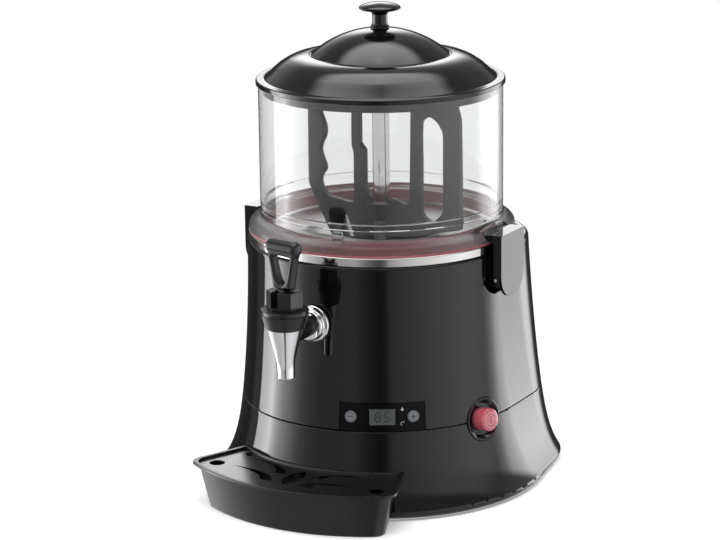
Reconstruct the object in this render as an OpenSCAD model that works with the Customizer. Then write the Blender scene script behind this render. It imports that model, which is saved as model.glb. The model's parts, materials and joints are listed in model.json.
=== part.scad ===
// Hot chocolate dispenser: a flared black housing with a heated steel basin, a clear bowl with a
// motor-driven stirrer, a lid, a front tap, a drip tray and a small control panel.
// Millimetres, +Z up, the tap faces -Y. The origin is the centre of the footprint on the bench.
// Shapes are written about the vertical axis of the tank, which at_tank() puts in its place.

/* [Housing] */
// Radius of the round front at its top edge
body_r = 130.4; // [128:0.1:134]
// Height of the housing's top deck above the bench
body_top = 238; // [236:1:244]
// Height of the seam between the upper housing and the lower skirt
seam_z = 81; // [78:1:84]
// Open gap that shows as a line at the seam
seam_gap = 0.6; // [0.4:0.1:1]
// Moulded wall thickness
wall = 2.5; // [2:0.1:3]
// Spread of the walls over their full height
spread = 18; // [14:0.5:20]
// Extra flare close to the bench
flare = 19; // [12:0.5:22]
// Half the spacing of the two rear corner centres at the top
corner_x = 27.5; // [24:0.5:31]
// Distance of the rear corner centres behind the tank axis at the top
corner_y = 27.3; // [25:0.1:31]
// How much tighter the rear corners are than the front at the top
corner_tight = 25.4; // [22:0.1:27]
// Radius of the rolled lower edge
lip_r = 6.5; // [5:0.5:8]
// Rounding of the deck's outer edge
deck_round = 4; // [2:0.5:5]
// Thickness of the deck round the tank
deck_t = 3; // [2.5:0.1:4]

/* [Base] */
// Thickness of the base plate
plate_t = 2; // [1.5:0.1:2.5]
// Height of the rubber feet under the base plate
foot_h = 2.6; // [2.4:0.1:3.2]
// Radius of a rubber foot
foot_r = 12; // [9:0.5:14]
// Gap between the housing's lower edge and the bench
skirt_z = 1; // [0.8:0.1:1.4]

/* [Tank] */
// Gap between the water jacket and the housing's top edge
jacket_gap = 8.4; // [7.4:0.1:10]
// Sheet thickness of the steel vessels
sheet_t = 1; // [0.8:0.1:1.2]
// Height of the polished steel rim above the deck
rim_h = 8; // [7:0.1:9]
// Height of the jacket's floor
jacket_floor_z = 149; // [146:1:152]
// Height of the basin's floor
basin_floor_z = 172; // [170:1:173]
// Radius of the basin's floor
basin_floor_r = 37; // [34:0.5:40]
// Radius of the well's mouth
well_r = 80; // [78:0.5:84]
// Outer radius of the centre column
column_r = 8.3; // [8:0.1:9]
// Wall of the centre column
column_wall = 1.8; // [1.5:0.1:2]
// Height of the top of the centre column
column_top_z = 374; // [368:1:376]

/* [Bowl] */
// Width of the bowl's foot ring outside its wall
foot_w = 11.3; // [10:0.1:12]
// Wall thickness of the bowl
bowl_wall = 3; // [2.5:0.1:3.5]
// Height of the bowl's upper edge
bowl_top_z = 388; // [380:1:400]
// How far the foot ring lies inside the housing's top edge
foot_in = 1.8; // [1.4:0.1:3]
// Thickness of the gasket under the bowl
gasket_t = 2.5; // [2:0.1:3]

/* [Lid] */
// Overhang of the lid's rim outside the bowl
lid_over = 2.2; // [1.2:0.1:4]
// Thickness of the lid's rim
lid_rim_t = 5; // [4:0.5:6]
// Wall thickness of the lid
lid_wall = 2.6; // [2:0.1:3]
// Radius of the raised centre dome
dome_r = 66.2; // [60:0.1:70]
// Rise of the dome above its edge
dome_rise = 24.8; // [20:0.1:30]
// Radius of the knob's cap
knob_r = 20; // [16:0.5:24]

/* [Stirrer] */
// Thickness of the stirring paddle
paddle_t = 6; // [5:0.5:7]
// Angle of the paddle about the tank axis at rest
paddle_turn = -10.8; // [-180:0.1:180]
// Drive shaft radius
shaft_r = 5; // [4.5:0.1:5.2]

/* [Drive] */
// Gear module
gear_m = 1.2; // [1.1:0.05:1.25]
// Teeth on the drive gear
gear_teeth = 48; // [48:4:48]
// Teeth on the motor pinion
pinion_teeth = 16; // [16:4:16]
// Face width of the gears
gear_w = 8; // [6:0.5:10]
// Height of the motor plate
motor_plate_z = 112; // [108:1:114]
// Radius of the gear motor
motor_r = 27; // [22:0.5:29]
// Length of the gear motor
motor_len = 52; // [40:1:60]

/* [Tap] */
// Height of the tap's stem
tap_z = 181.5; // [181:0.5:183]
// Distance of the valve in front of the tank axis
tap_y = 184; // [180:1:188]
// Turn of the bonnet and handle about the valve
tap_turn = -9; // [-12:1:0]
// Radius of the tap's stem
stem_r = 9.5; // [9:0.1:10]
// Height of the spout's outlet
spout_z = 142.5; // [138:0.5:146]
// Radius of the spout's outlet bore
spout_bore_r = 6.2; // [5.5:0.1:6.4]
// Thickness of the handle's blade
blade_t = 7; // [6:0.5:8]

/* [Latches] */
// Width of a latch
latch_w = 48; // [40:1:50]
// How far a latch's outer face stands out from the housing's top edge
latch_out = 11.1; // [10.6:0.1:12]
// Height of the latch's hinge pin
latch_pin_z = 213; // [210:0.5:216]
// Radius of the hinge pin
latch_pin_r = 1.5; // [1.3:0.1:1.6]

/* [Controls] */
// Start of the control panel, in degrees to the right of the tap
panel_from = 11.3; // [10:0.1:14]
// End of the control panel, in degrees to the right of the tap
panel_to = 45.9; // [43:0.1:47]
// Height of the control panel
panel_h = 28; // [26:0.5:29]
// Direction of the power button, in degrees to the right of the tap
power_at = 72.5; // [71:0.5:74]
// Radius of the power button's bezel
bezel_r = 21.2; // [19:0.1:22]
// Radius of the power button
power_r = 11; // [9:0.1:12]

/* [Drip tray] */
// Distance of the tray's front edge from the tank axis
tray_front = 216; // [212:1:225]
// Half the width of the tray at its front corners
tray_half_w = 107; // [100:1:112]
// Height of the tray's rim
tray_h = 44; // [40:0.5:45]
// Wall thickness of the tray
tray_wall = 2.2; // [1.8:0.1:2.6]
// Width of the rolled rim
tray_lip = 4.5; // [3.5:0.5:5]
// Thickness of the grille
grille_t = 1.5; // [1.2:0.1:2]

/* [Fits] */
// Clearance between fixed parts that slip together
slip = 0.3; // [0.2:0.05:0.4]
// Radial clearance of turning fits
run = 0.06; // [0.04:0.01:0.08]
// Radial clearance of pressed and bonded fits
seat = 0.03; // [0.02:0.01:0.05]

/* [Hidden] */
$fn = 96;
black = [0.06, 0.06, 0.065];
satin_black = [0.11, 0.11, 0.115];
steel = [0.78, 0.78, 0.79];
chrome = [0.86, 0.87, 0.88];
clear = [0.9, 0.93, 0.95, 0.35];
red = [0.72, 0.08, 0.1];
brass = [0.78, 0.62, 0.3];
green = [0.1, 0.35, 0.2];
white = [0.9, 0.9, 0.88];

// ---- outline of the housing ----
front_steps = 42;
corner_steps = 11;
lip_z = skirt_z + lip_r;
corner_r = body_r - corner_tight;
corner_out = 32.3;
corner_back = 47.2;
corner_tighten = 15.9;
function drop(z) = (body_top - z) / body_top;
function swell(z) = spread * pow(drop(z), 2) + flare * pow(drop(z), 10);
function front_r(z) = body_r + swell(z);
function rear_r(z) = corner_r - corner_tighten * drop(z);
function shift(z) = 0.44 * swell(z) / swell(skirt_z + lip_r) + 0.56 * drop(z);
function rear_c(z) = [corner_x + corner_out * shift(z), corner_y + corner_back * shift(z)];
function side_turn(z) =
  let (c = rear_c(z)) atan2(c.y, c.x) - acos((front_r(z) - rear_r(z)) / norm(c));
function arc(c, r, from, to, steps) =
  [for (i = [0:steps]) let (a = from + (to - from) * i / steps) [c.x + r * cos(a), c.y + r * sin(a)]];
function outline(z, inset) =
  let (f = front_r(z) - inset, r = rear_r(z) - inset, c = rear_c(z), t = side_turn(z)) concat(
    arc([0, 0], f, 180 - t, 360 + t, front_steps),
    arc(c, r, t, 90, corner_steps),
    arc([-c.x, c.y], r, 90, 180 - t, corner_steps));
function ring(z, inset, shape_z = -1) =
  [for (p = outline(shape_z < 0 ? z : shape_z, inset)) [p.x, p.y, z]];
function round_ring(z, r) =
  [for (p = outline(body_top, 0)) let (a = atan2(p.y, p.x)) [r * cos(a), r * sin(a), z]];
function back_y(z) = rear_c(z).y + rear_r(z);
tank_y = (tray_front - back_y(lip_z)) / 2;

module at_tank() {
  translate([0, tank_y, 0]) children();
}

// A closed wall through rings of equal point counts; the last ring joins the first.
module loft(rings) {
  m = len(rings);
  n = len(rings[0]);
  points = [for (r = rings) each r];
  faces = [for (i = [0:m - 1]) for (j = [0:n - 1])
    let (a = i * n + j, b = ((i + 1) % m) * n + j, c = ((i + 1) % m) * n + (j + 1) % n,
         d = i * n + (j + 1) % n)
    each [[a, b, c], [a, c, d]]];
  polyhedron(points, faces);
}

// Places children on the housing wall: x to the right, y up and z out of the wall.
module on_wall(turn, z, r, tilt) {
  rotate([0, 0, turn]) translate([0, -r, z]) rotate([90 - tilt, 0, 0]) children();
}

module ring_tube(r_out, r_in, h) {
  difference() {
    cylinder(r = r_out, h = h);
    translate([0, 0, -1]) cylinder(r = r_in, h = h + 2);
  }
}

module both_sides() {
  children();
  mirror([1, 0, 0]) children();
}

// ---- derived places ----
jacket_r = body_r - jacket_gap;
bowl_foot_r = body_r - foot_in;
bowl_r = bowl_foot_r - foot_w;
lid_r = bowl_r + lid_over;
latch_x = body_r + latch_out;
rim_top = body_top + rim_h;
flange_z = rim_top - 1.2;
gasket_z = flange_z + sheet_t;
bowl_z = gasket_z + gasket_t + 0.2;
bowl_in_r = bowl_r - bowl_wall;
deck_hole_r = jacket_r + 3.4;
base_z = foot_h;
base_top = base_z + plate_t;
base_inset = lip_r + wall;
panel_top = seam_z + panel_h;
panel_mid_z = seam_z + panel_h / 2;
panel_tilt = atan((front_r(seam_z) - front_r(panel_top)) / panel_h);
power_tilt = atan((front_r(seam_z - bezel_r) - front_r(seam_z + bezel_r)) / (2 * bezel_r));
power_face_r = front_r(seam_z);
tap_face = front_r(tap_z);
gear_gap = gear_m * (gear_teeth + pinion_teeth) / 2;
gear_z = motor_plate_z + plate_t + 8;
foot_x = body_r - 30.4;
foot_front = body_r - 45.4;
foot_rear = corner_y + 84.7;
plate_holes = [[foot_x, -foot_front], [-foot_x, -foot_front],
  [foot_x - 2, foot_rear], [-foot_x + 2, foot_rear]];
front_boss = front_r(lip_z) - base_inset - 5.2;
rear_boss_y = back_y(lip_z) - base_inset - 5.2;
bosses = [
  [front_boss * cos(-30), front_boss * sin(-30)], [front_boss * cos(-150), front_boss * sin(-150)],
  [50, rear_boss_y], [-50, rear_boss_y]
];
boss_r = 4.5;
boss_top = 27;
screw_r = 1.7;
cover_low = 92;
cover_high = 196;
cover_half_w = 40;
cover_tilt = atan((back_y(cover_low) - back_y(cover_high)) / (cover_high - cover_low));
cover_mid_z = (cover_low + cover_high) / 2;
cover_y = (back_y(cover_low) + back_y(cover_high)) / 2 - wall;
cover_h = (cover_high - cover_low) / cos(cover_tilt);
gland_at = [12, 30];

// ---- base ----
module foot() {
  cylinder(r1 = foot_r - 1, r2 = foot_r, h = base_z);
  cylinder(r = 3.2, h = base_top + 0.05);
  translate([0, 0, base_top + 0.05]) cylinder(r1 = 4.6, r2 = 3.6, h = 1.6);
}

module feet() {
  color(satin_black) at_tank() for (p = plate_holes) translate(p) foot();
}

module base_plate() {
  color(steel) at_tank() difference() {
    translate([0, 0, base_z]) linear_extrude(plate_t) polygon(outline(lip_z, base_inset + slip));
    for (p = plate_holes) translate([p.x, p.y, 0]) cylinder(r = 3.2 + slip, h = 20);
    for (p = bosses) translate([p.x, p.y, 0]) cylinder(r = screw_r + slip, h = 20);
    for (x = [-48:8:48]) translate([x - 1.5, -60, 0]) cube([3, 36, 20]);
  }
}

module base_screws() {
  color(steel) at_tank() for (p = bosses) translate([p.x, p.y, base_z - 1.4]) {
    cylinder(r = 3.4, h = 1.4);
    cylinder(r = screw_r, h = 12);
  }
}

module seam_window() {
  on_wall(power_at, seam_z, power_face_r, power_tilt) translate([0, 0, -25])
    cylinder(r = bezel_r + slip, h = 60);
}

module lower_skirt() {
  lip = [for (t = [90:-22.5:0]) ring(lip_z - lip_r * sin(t), lip_r * (1 - cos(t)), lip_z)];
  outer = [for (z = [12, 18, 25, 33, 42, 52, 62, 72]) ring(z, 0)];
  edge = seam_z - seam_gap / 2;
  step = [ring(edge, 0), ring(edge, wall + 0.4), ring(edge + 6, wall + 0.4),
    ring(edge + 6, 2 * wall + 0.2), ring(edge - 4, 2 * wall + 0.2, seam_z),
    ring(edge - 7, wall)];
  inner = [for (z = [62, 52, 42, 33, 26]) ring(z, wall)];
  foot_ring = [ring(18, base_inset, lip_z), ring(skirt_z, base_inset, lip_z)];
  color(black) at_tank() difference() {
    union() {
      loft(concat(lip, outer, step, inner, foot_ring));
      for (p = bosses) translate([p.x, p.y, base_top]) cylinder(r = boss_r, h = boss_top - base_top);
    }
    for (p = bosses) translate([p.x, p.y, base_top - 1]) cylinder(r = screw_r + seat, h = 14);
    seam_window();
    panel_window(1, seam_z + 0.1, panel_top);
  }
}

module panel_window(grow, low, high) {
  rotate([0, 0, -90 + panel_from - grow]) rotate_extrude(angle = panel_to - panel_from + 2 * grow)
    translate([front_r(seam_z) - 22, low]) square([40, high - low]);
}

module cover_place() {
  translate([0, cover_y, cover_mid_z]) rotate([-90 + cover_tilt, 0, 0]) children();
}

module cover_screw_places() {
  for (x = [-1, 1]) for (y = [-1, 1])
    translate([x * (cover_half_w - 7), y * (cover_h / 2 - 7), 0]) children();
}

module upper_housing() {
  edge = seam_z + seam_gap / 2;
  crown = body_top - deck_round;
  levels = [96, 112, 130, 150, 172, 195, 216];
  outer = [for (z = levels) ring(z, 0)];
  rounding = [for (t = [0:30:90]) ring(crown + deck_round * sin(t), deck_round * (1 - cos(t)), crown)];
  deck = [round_ring(body_top, deck_hole_r), round_ring(body_top - deck_t, deck_hole_r),
    ring(body_top - deck_t, wall + 0.5, body_top)];
  inner = [for (i = [len(levels) - 1:-1:0]) ring(levels[i], wall)];
  color(black) at_tank() difference() {
    union() {
      loft(concat([ring(edge, 0)], outer, rounding, deck, inner, [ring(edge, wall)]));
      difference() {
        cover_place() cover_screw_places() translate([-8, -8, -8]) cube([16, 16, 7.9]);
        translate([-200, -60, 0]) cube([400, 100, 300]);
      }
    }
    panel_window(0, seam_z - 2, panel_top);
    seam_window();
    translate([0, -tap_face + 20, tap_z]) rotate([90, 0, 0]) cylinder(r = stem_r + slip, h = 40);
    cover_place() {
      translate([-cover_half_w, -cover_h / 2, -0.05]) cube([2 * cover_half_w, cover_h, 30]);
      translate([-cover_half_w + 15, -cover_h / 2 + 1, -12])
        cube([2 * cover_half_w - 30, cover_h - 2, 30]);
    }
    cover_place() cover_screw_places() translate([0, 0, -12]) cylinder(r = screw_r + seat, h = 30);
  }
}

// ---- rear ----
module rear_cover() {
  color(steel) at_tank() cover_place() difference() {
    translate([-cover_half_w + slip, -cover_h / 2 + slip, 0])
      cube([2 * (cover_half_w - slip), cover_h - 2 * slip, 1.6]);
    cover_screw_places() translate([0, 0, -5]) cylinder(r = screw_r + slip, h = 20);
    for (row = [0:5]) translate([-25, -36 + row * 8, -5]) cube([50, 3, 20]);
    translate([gland_at.x, gland_at.y, -5]) cylinder(r = 7.2 + slip, h = 20);
  }
}

module rear_screws() {
  color(steel) at_tank() cover_place() cover_screw_places() {
    translate([0, 0, -7]) cylinder(r = screw_r, h = 9);
    translate([0, 0, 1.63]) cylinder(r1 = 3.2, r2 = 2.6, h = 1.8);
  }
}

module cable_gland() {
  color(satin_black) at_tank() cover_place() translate(gland_at) difference() {
    union() {
      translate([0, 0, -8]) cylinder(r = 7.2, h = 12);
      translate([0, 0, 1.63]) cylinder(r = 10.4, h = 4, $fn = 6);
      translate([0, 0, 5.6]) cylinder(r1 = 8.6, r2 = 6.4, h = 7);
      translate([0, 0, -4.03]) cylinder(r = 10.4, h = 4, $fn = 6);
    }
    translate([0, 0, -20]) cylinder(r = 3.6, h = 60);
  }
}

// ---- tank ----
stub_back = 36;
stub_r = 10.5;
stub_bore = 8.2;
stub_end = body_r - 6.4;
stem_step = stub_end + 4;
heater_r = jacket_r - 37;
heater_z = jacket_floor_z + 9;
heater_legs = [82, 98];
probe_at = [-70, -62];

module tap_axis(r, from, to) {
  translate([0, -from, tap_z]) rotate([90, 0, 0]) cylinder(r = r, h = to - from);
}

module water_jacket() {
  inner = jacket_r - sheet_t;
  color(steel) at_tank() difference() {
    rotate_extrude() polygon([
      [column_r + 2 * seat, jacket_floor_z], [jacket_r - 6, jacket_floor_z],
      [jacket_r, jacket_floor_z + 6], [jacket_r, body_top + slip],
      [body_r - 1, body_top + slip], [body_r - 1, rim_top - 0.8], [body_r - 1.8, rim_top],
      [body_r - 2, rim_top], [body_r - 2, body_top + slip + sheet_t],
      [jacket_r, body_top + slip + sheet_t], [jacket_r, flange_z], [inner, flange_z],
      [inner, jacket_floor_z + 6.4], [jacket_r - 6.4, jacket_floor_z + sheet_t],
      [column_r + 2 * seat, jacket_floor_z + sheet_t]
    ]);
    tap_axis(stub_r + 0.1, jacket_r - 22, jacket_r + 18);
    for (a = heater_legs) rotate([0, 0, a]) translate([heater_r, 0, 100]) cylinder(r = 4.1, h = 60);
    translate([probe_at.x, probe_at.y, 100]) cylinder(r = 3.1, h = 60);
  }
}

module chocolate_basin() {
  lip = bowl_in_r - 2.3;
  slope = (well_r - basin_floor_r - 6) / (flange_z - 6.8 - basin_floor_z - 6);
  color(steel) at_tank() difference() {
    union() {
      rotate_extrude() polygon([
        [column_r + 2 * seat, basin_floor_z], [basin_floor_r, basin_floor_z],
        [basin_floor_r + 6, basin_floor_z + 6], [well_r, flange_z - 6.8], [lip - 1, flange_z - 1.3],
        [lip, flange_z + sheet_t], [body_r - 2.3, flange_z + sheet_t], [body_r - 2.3, flange_z],
        [lip + 0.9, flange_z], [lip, flange_z - 2.3], [well_r + 0.8, flange_z - 7.9],
        [basin_floor_r + 7.2, basin_floor_z + 5.5], [basin_floor_r + 0.5, basin_floor_z - sheet_t],
        [column_r + 2 * seat, basin_floor_z - sheet_t]
      ]);
      difference() {
        tap_axis(stub_r, stub_back, stub_end);
        rotate_extrude() polygon([
          [0, basin_floor_z - 30], [basin_floor_r + 0.2, basin_floor_z - 30],
          [basin_floor_r + 0.2, basin_floor_z - 0.5], [basin_floor_r + 6.6, basin_floor_z + 5.8],
          [basin_floor_r + 6.6 + 30 * slope, basin_floor_z + 35.8], [0, basin_floor_z + 36]
        ]);
      }
    }
    tap_axis(stub_bore, 20, stub_end + 16);
  }
}

module heating_element() {
  color(steel) at_tank() {
    rotate_extrude() translate([heater_r, heater_z]) circle(r = 4);
    for (a = heater_legs) rotate([0, 0, a]) translate([heater_r, 0, heater_z - 22])
      cylinder(r = 3.9, h = 22);
  }
}

module thermostat() {
  color(white) at_tank() translate([62, -62, jacket_floor_z]) {
    translate([0, 0, -3]) cylinder(r = 9.5, h = 3);
    translate([0, 0, -11]) cylinder(r = 7.5, h = 8);
    for (x = [-4, 4]) translate([x - 0.4, -3, -18]) cube([0.8, 6, 7.5]);
  }
}

module temperature_probe() {
  color(steel) at_tank() translate([probe_at.x, probe_at.y, jacket_floor_z]) {
    translate([0, 0, -14]) cylinder(r = 3, h = 34);
    translate([0, 0, -5]) cylinder(r = 6.5, h = 5, $fn = 6);
  }
}

module centre_column() {
  color(chrome) at_tank() translate([0, 0, jacket_floor_z - 3])
    ring_tube(column_r, column_r - column_wall, column_top_z - jacket_floor_z + 3);
}

// ---- stirrer and drive ----
bush_r = column_r - column_wall - seat;
plate_bush_r = 8;
hub_z = 366;
hub_h = 26;
shaft_low = motor_plate_z - 6;
hex_z = column_top_z + 0.8;
shaft_top = hub_z + hub_h - 5;

module shaft_bushings() {
  color(brass) at_tank() {
    for (z = [jacket_floor_z - 3, column_top_z - 9]) translate([0, 0, z])
      ring_tube(bush_r, shaft_r + run, 9);
    translate([0, 0, motor_plate_z - 3]) ring_tube(plate_bush_r - seat, shaft_r + run, plate_t + 3);
    translate([0, 0, motor_plate_z + plate_t]) ring_tube(plate_bush_r + 3, shaft_r + run, 2);
  }
}

module drive_shaft() {
  color(steel) at_tank() rotate([0, 0, paddle_turn]) {
    translate([0, 0, shaft_low]) cylinder(r = shaft_r, h = hex_z - shaft_low);
    translate([0, 0, hex_z]) cylinder(r = shaft_r, h = shaft_top - hex_z, $fn = 6);
  }
}

// The paddle is drawn for a bowl of this inner radius and follows the real one.
drawn_r = 114.3;
function fitted(points) = [for (p = points) [p.x * bowl_in_r / drawn_r, p.y]];
paddle_outline = [
  [-84, 378], [-92, 370], [-92.4, 276.4], [-69.4, 239], [-40, 191], [-30, 184], [30, 184],
  [40, 191], [67, 238], [74, 247], [97.6, 250], [97.6, 300], [96.7, 362], [92, 378]
];
grip_window = [
  [-78, 366], [-78, 356], [-75, 347], [-70.4, 337], [-70.2, 327], [-75, 318], [-76.4, 311],
  [-74, 304], [-70.8, 297], [-70.9, 292], [-76, 285], [-76.5, 279], [-73, 271.5], [-65, 267],
  [-50, 265.6], [-36, 264.5], [-33.4, 268], [-33.2, 314.6], [-35.5, 322], [-35.5, 366]
];
centre_window = [
  [-25.4, 366], [-25.4, 324.5], [-19.1, 319.4], [-19.1, 284], [-16, 276], [-9, 273], [9, 270],
  [13, 276], [20, 275], [32, 272], [36.7, 276], [38.7, 366]
];
blade_slot = [
  [50.6, 276], [51.5, 267], [56, 262], [63.6, 259.2], [71, 264.5], [76, 270], [77.5, 278],
  [77.5, 344], [75.5, 351], [70, 357.5], [61.8, 361], [54, 357.5], [50.6, 350]
];
vent_slot = [[-48, 246], [-46, 250.5], [-42, 250], [-37, 240], [-33, 226], [-37, 222], [-41, 226]];

module stirrer() {
  color(satin_black) at_tank() rotate([0, 0, paddle_turn]) difference() {
    union() {
      translate([0, paddle_t / 2, 0]) rotate([90, 0, 0]) linear_extrude(paddle_t) difference() {
        polygon(fitted(paddle_outline));
        polygon(fitted(grip_window));
        polygon(fitted(centre_window));
        polygon(fitted(blade_slot));
        polygon(fitted(vent_slot));
      }
      for (z = [184, 254]) translate([0, 0, z]) cylinder(r = 14, h = 16);
      translate([0, 0, hub_z]) cylinder(r = 14, h = hub_h);
    }
    translate([0, 0, 100]) cylinder(r = column_r + 0.6, h = column_top_z + 1 - 100);
    translate([0, 0, 300]) cylinder(r = shaft_r + 0.1, h = shaft_top + 0.5 - 300, $fn = 6);
  }
}

// Involute half angle of a tooth at radius r, in degrees.
pressure = 20;
backlash = 0.16;
function involute(a) = tan(a) * 180 / PI - a;
function flank(r, pitch_r, teeth) =
  let (base = pitch_r * cos(pressure), q = max(r, base + 0.001))
  90 / teeth - backlash / pitch_r * 90 / PI + involute(pressure) - involute(acos(base / q));
function polar(r, a) = [r * cos(a), r * sin(a)];
function gear_points(teeth, m) =
  let (p = teeth * m / 2, root = p - 1.2 * m, tip = p + 0.85 * m, base = p * cos(pressure),
       rs = [root, max(root + 0.05, base), p - 0.3 * m, p + 0.3 * m, tip])
  [for (i = [0:teeth - 1]) let (c = 360 * i / teeth) each concat(
    [for (r = rs) polar(r, c - flank(r, p, teeth))],
    [for (k = [4:-1:0]) polar(rs[k], c + flank(rs[k], p, teeth))])];

module drive_gear() {
  color(white) at_tank() translate([0, 0, gear_z]) difference() {
    union() {
      linear_extrude(gear_w) polygon(gear_points(gear_teeth, gear_m));
      translate([0, 0, -4]) cylinder(r = 10, h = gear_w + 9);
    }
    translate([0, 0, -10]) cylinder(r = shaft_r + seat, h = 60);
    for (a = [0:60:300]) rotate([0, 0, a]) translate([18, 0, -10]) cylinder(r = 5, h = 60);
  }
}

motor_shaft_r = 3;
motor_z = motor_plate_z - motor_len;

module motor_pinion() {
  color(brass) at_tank() translate([0, gear_gap, gear_z]) difference() {
    rotate([0, 0, 180 / pinion_teeth])
      linear_extrude(gear_w) polygon(gear_points(pinion_teeth, gear_m));
    translate([0, 0, -10]) cylinder(r = motor_shaft_r + seat, h = 60);
  }
}

module motor_shaft() {
  color(steel) at_tank() translate([0, gear_gap, motor_plate_z - 14])
    cylinder(r = motor_shaft_r, h = gear_z + gear_w + 1 - motor_plate_z + 14);
}

motor_screw_at = [[18, gear_gap], [-18, gear_gap], [0, gear_gap + 18]];

module gear_motor() {
  color(steel) at_tank() difference() {
    union() {
      translate([0, gear_gap, motor_z + 8]) cylinder(r = motor_r, h = motor_len - 8);
      translate([0, gear_gap, motor_z]) cylinder(r1 = motor_r - 7, r2 = motor_r - 3, h = 8);
      translate([0, gear_gap, motor_z + 20]) cylinder(r = motor_r + 1, h = 3);
      translate([motor_r - 3, gear_gap - 6, motor_z + 8]) cube([9, 12, 12]);
    }
    translate([0, gear_gap, motor_plate_z - 14.5]) cylinder(r = motor_shaft_r + run, h = 60);
    for (p = motor_screw_at) translate([p.x, p.y, motor_plate_z - 8])
      cylinder(r = screw_r + seat, h = 20);
  }
}

post_at = [[66, -30], [-66, -30], [66, 62], [-66, 62]];

module motor_bracket() {
  color(steel) at_tank() difference() {
    union() {
      translate([0, 0, motor_plate_z]) linear_extrude(plate_t) offset(r = 10, $fn = 32)
        square([2 * 62, 96], center = true);
      translate([-72, 38, motor_plate_z]) cube([144, 34, plate_t]);
      for (p = post_at) translate([p.x, p.y, base_top])
        cylinder(r = 5, h = motor_plate_z - base_top);
    }
    translate([0, 0, 90]) cylinder(r = plate_bush_r, h = 60);
    translate([0, gear_gap, 90]) cylinder(r = 9, h = 60);
    for (p = motor_screw_at) translate([p.x, p.y, 90]) cylinder(r = screw_r + slip, h = 60);
  }
}

module motor_screws() {
  color(steel) at_tank() for (p = motor_screw_at) translate([p.x, p.y, motor_plate_z]) {
    translate([0, 0, -6]) cylinder(r = screw_r, h = plate_t + 7);
    translate([0, 0, plate_t]) cylinder(r1 = 3.2, r2 = 2.8, h = 1.8);
  }
}

board_z = base_top + 8;
board_half = [34, 21];
board_y = 104;
post_r = 3;

module board_posts() {
  color(brass) at_tank() for (x = [-1, 1]) for (y = [-1, 1])
    translate([x * (board_half.x - 5), board_y + y * (board_half.y - 5), base_top])
      cylinder(r = post_r, h = board_z - base_top, $fn = 6);
}

module power_board() {
  color(green) at_tank() translate([0, board_y, board_z]) {
    translate([-board_half.x, -board_half.y, 0]) cube([2 * board_half.x, 2 * board_half.y, 1.6]);
    translate([-24, -12, 1.6]) cube([26, 24, 20]);
    translate([8, 4, 1.6]) cube([18, 10, 12]);
    translate([12, -8, 1.6]) cylinder(r = 5, h = 14);
    translate([24, -8, 1.6]) cylinder(r = 4, h = 11);
  }
}

// ---- bowl ----
shoulder_z = 274;
notch_z = bowl_z + 2;
hook_tip_x = bowl_r + 2.3;

module bowl_gasket() {
  color(red) at_tank() rotate_extrude() polygon([
    [bowl_in_r - 3.1, gasket_z], [body_r - 3.4, gasket_z], [body_r - 3.4, gasket_z + gasket_t],
    [bowl_in_r - 0.4, gasket_z + gasket_t], [bowl_in_r - 0.4, gasket_z + 9],
    [bowl_in_r - 1.4, gasket_z + 10.4], [bowl_in_r - 3.1, gasket_z + 10.4]
  ]);
}

module bowl() {
  color(clear) at_tank() difference() {
    union() {
      rotate_extrude() polygon([
        [bowl_in_r, bowl_z], [bowl_foot_r, bowl_z], [bowl_foot_r, bowl_z + 3],
        [bowl_foot_r - 1, bowl_z + 5.6], [bowl_foot_r - 3.1, bowl_z + 7.6],
        [bowl_foot_r - 6, bowl_z + 9.5], [bowl_r + 2.3, bowl_z + 12],
        [bowl_r + 0.6, bowl_z + 14.2], [bowl_r, bowl_z + 16.5], [bowl_r, bowl_top_z - 0.8],
        [bowl_r - 0.8, bowl_top_z], [bowl_in_r + 0.8, bowl_top_z], [bowl_in_r, bowl_top_z - 0.8],
        [bowl_in_r, shoulder_z + 1.5], [bowl_in_r - 2, shoulder_z], [bowl_in_r - 2, shoulder_z - 5],
        [bowl_in_r, shoulder_z - 6]
      ]);
      rotate([0, 0, 9]) translate([-5.5, -bowl_r - 4.5, bowl_z + 9]) cube([11, 5, 11]);
    }
    both_sides() translate([hook_tip_x - 0.8, -latch_w / 2 - 1.2, notch_z])
      cube([20, latch_w + 2.4, 30]);
  }
}

// ---- lid ----
lid_z = bowl_top_z + slip;
lid_rise = lid_z + lid_rim_t;
shoulder_h = 27.1;
dome_curve = (pow(dome_r, 2) + pow(dome_rise, 2)) / (2 * dome_rise);
dome_top = lid_z + shoulder_h + dome_rise;
plug_r = bowl_in_r - 1.3;
function dome_z(x, t) = dome_top - dome_curve + sqrt(pow(dome_curve - t, 2) - x * x);

// Shoulder of the lid, from its rim up to the dome: share of the way out from the dome to the
// rim, and height above the rim's underside.
shoulder_share = [
  [1, 5.2], [0.828, 11.7], [0.736, 15.4], [0.609, 19.2], [0.46, 22.9], [0.299, 25.2],
  [0.138, 26.6], [0, shoulder_h]
];
shoulder_in = dome_r + 1.8;
shoulder_out = bowl_in_r - 2.8;
shoulder = [for (p = shoulder_share) [shoulder_in + p.x * (shoulder_out - shoulder_in), p.y]];

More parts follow.
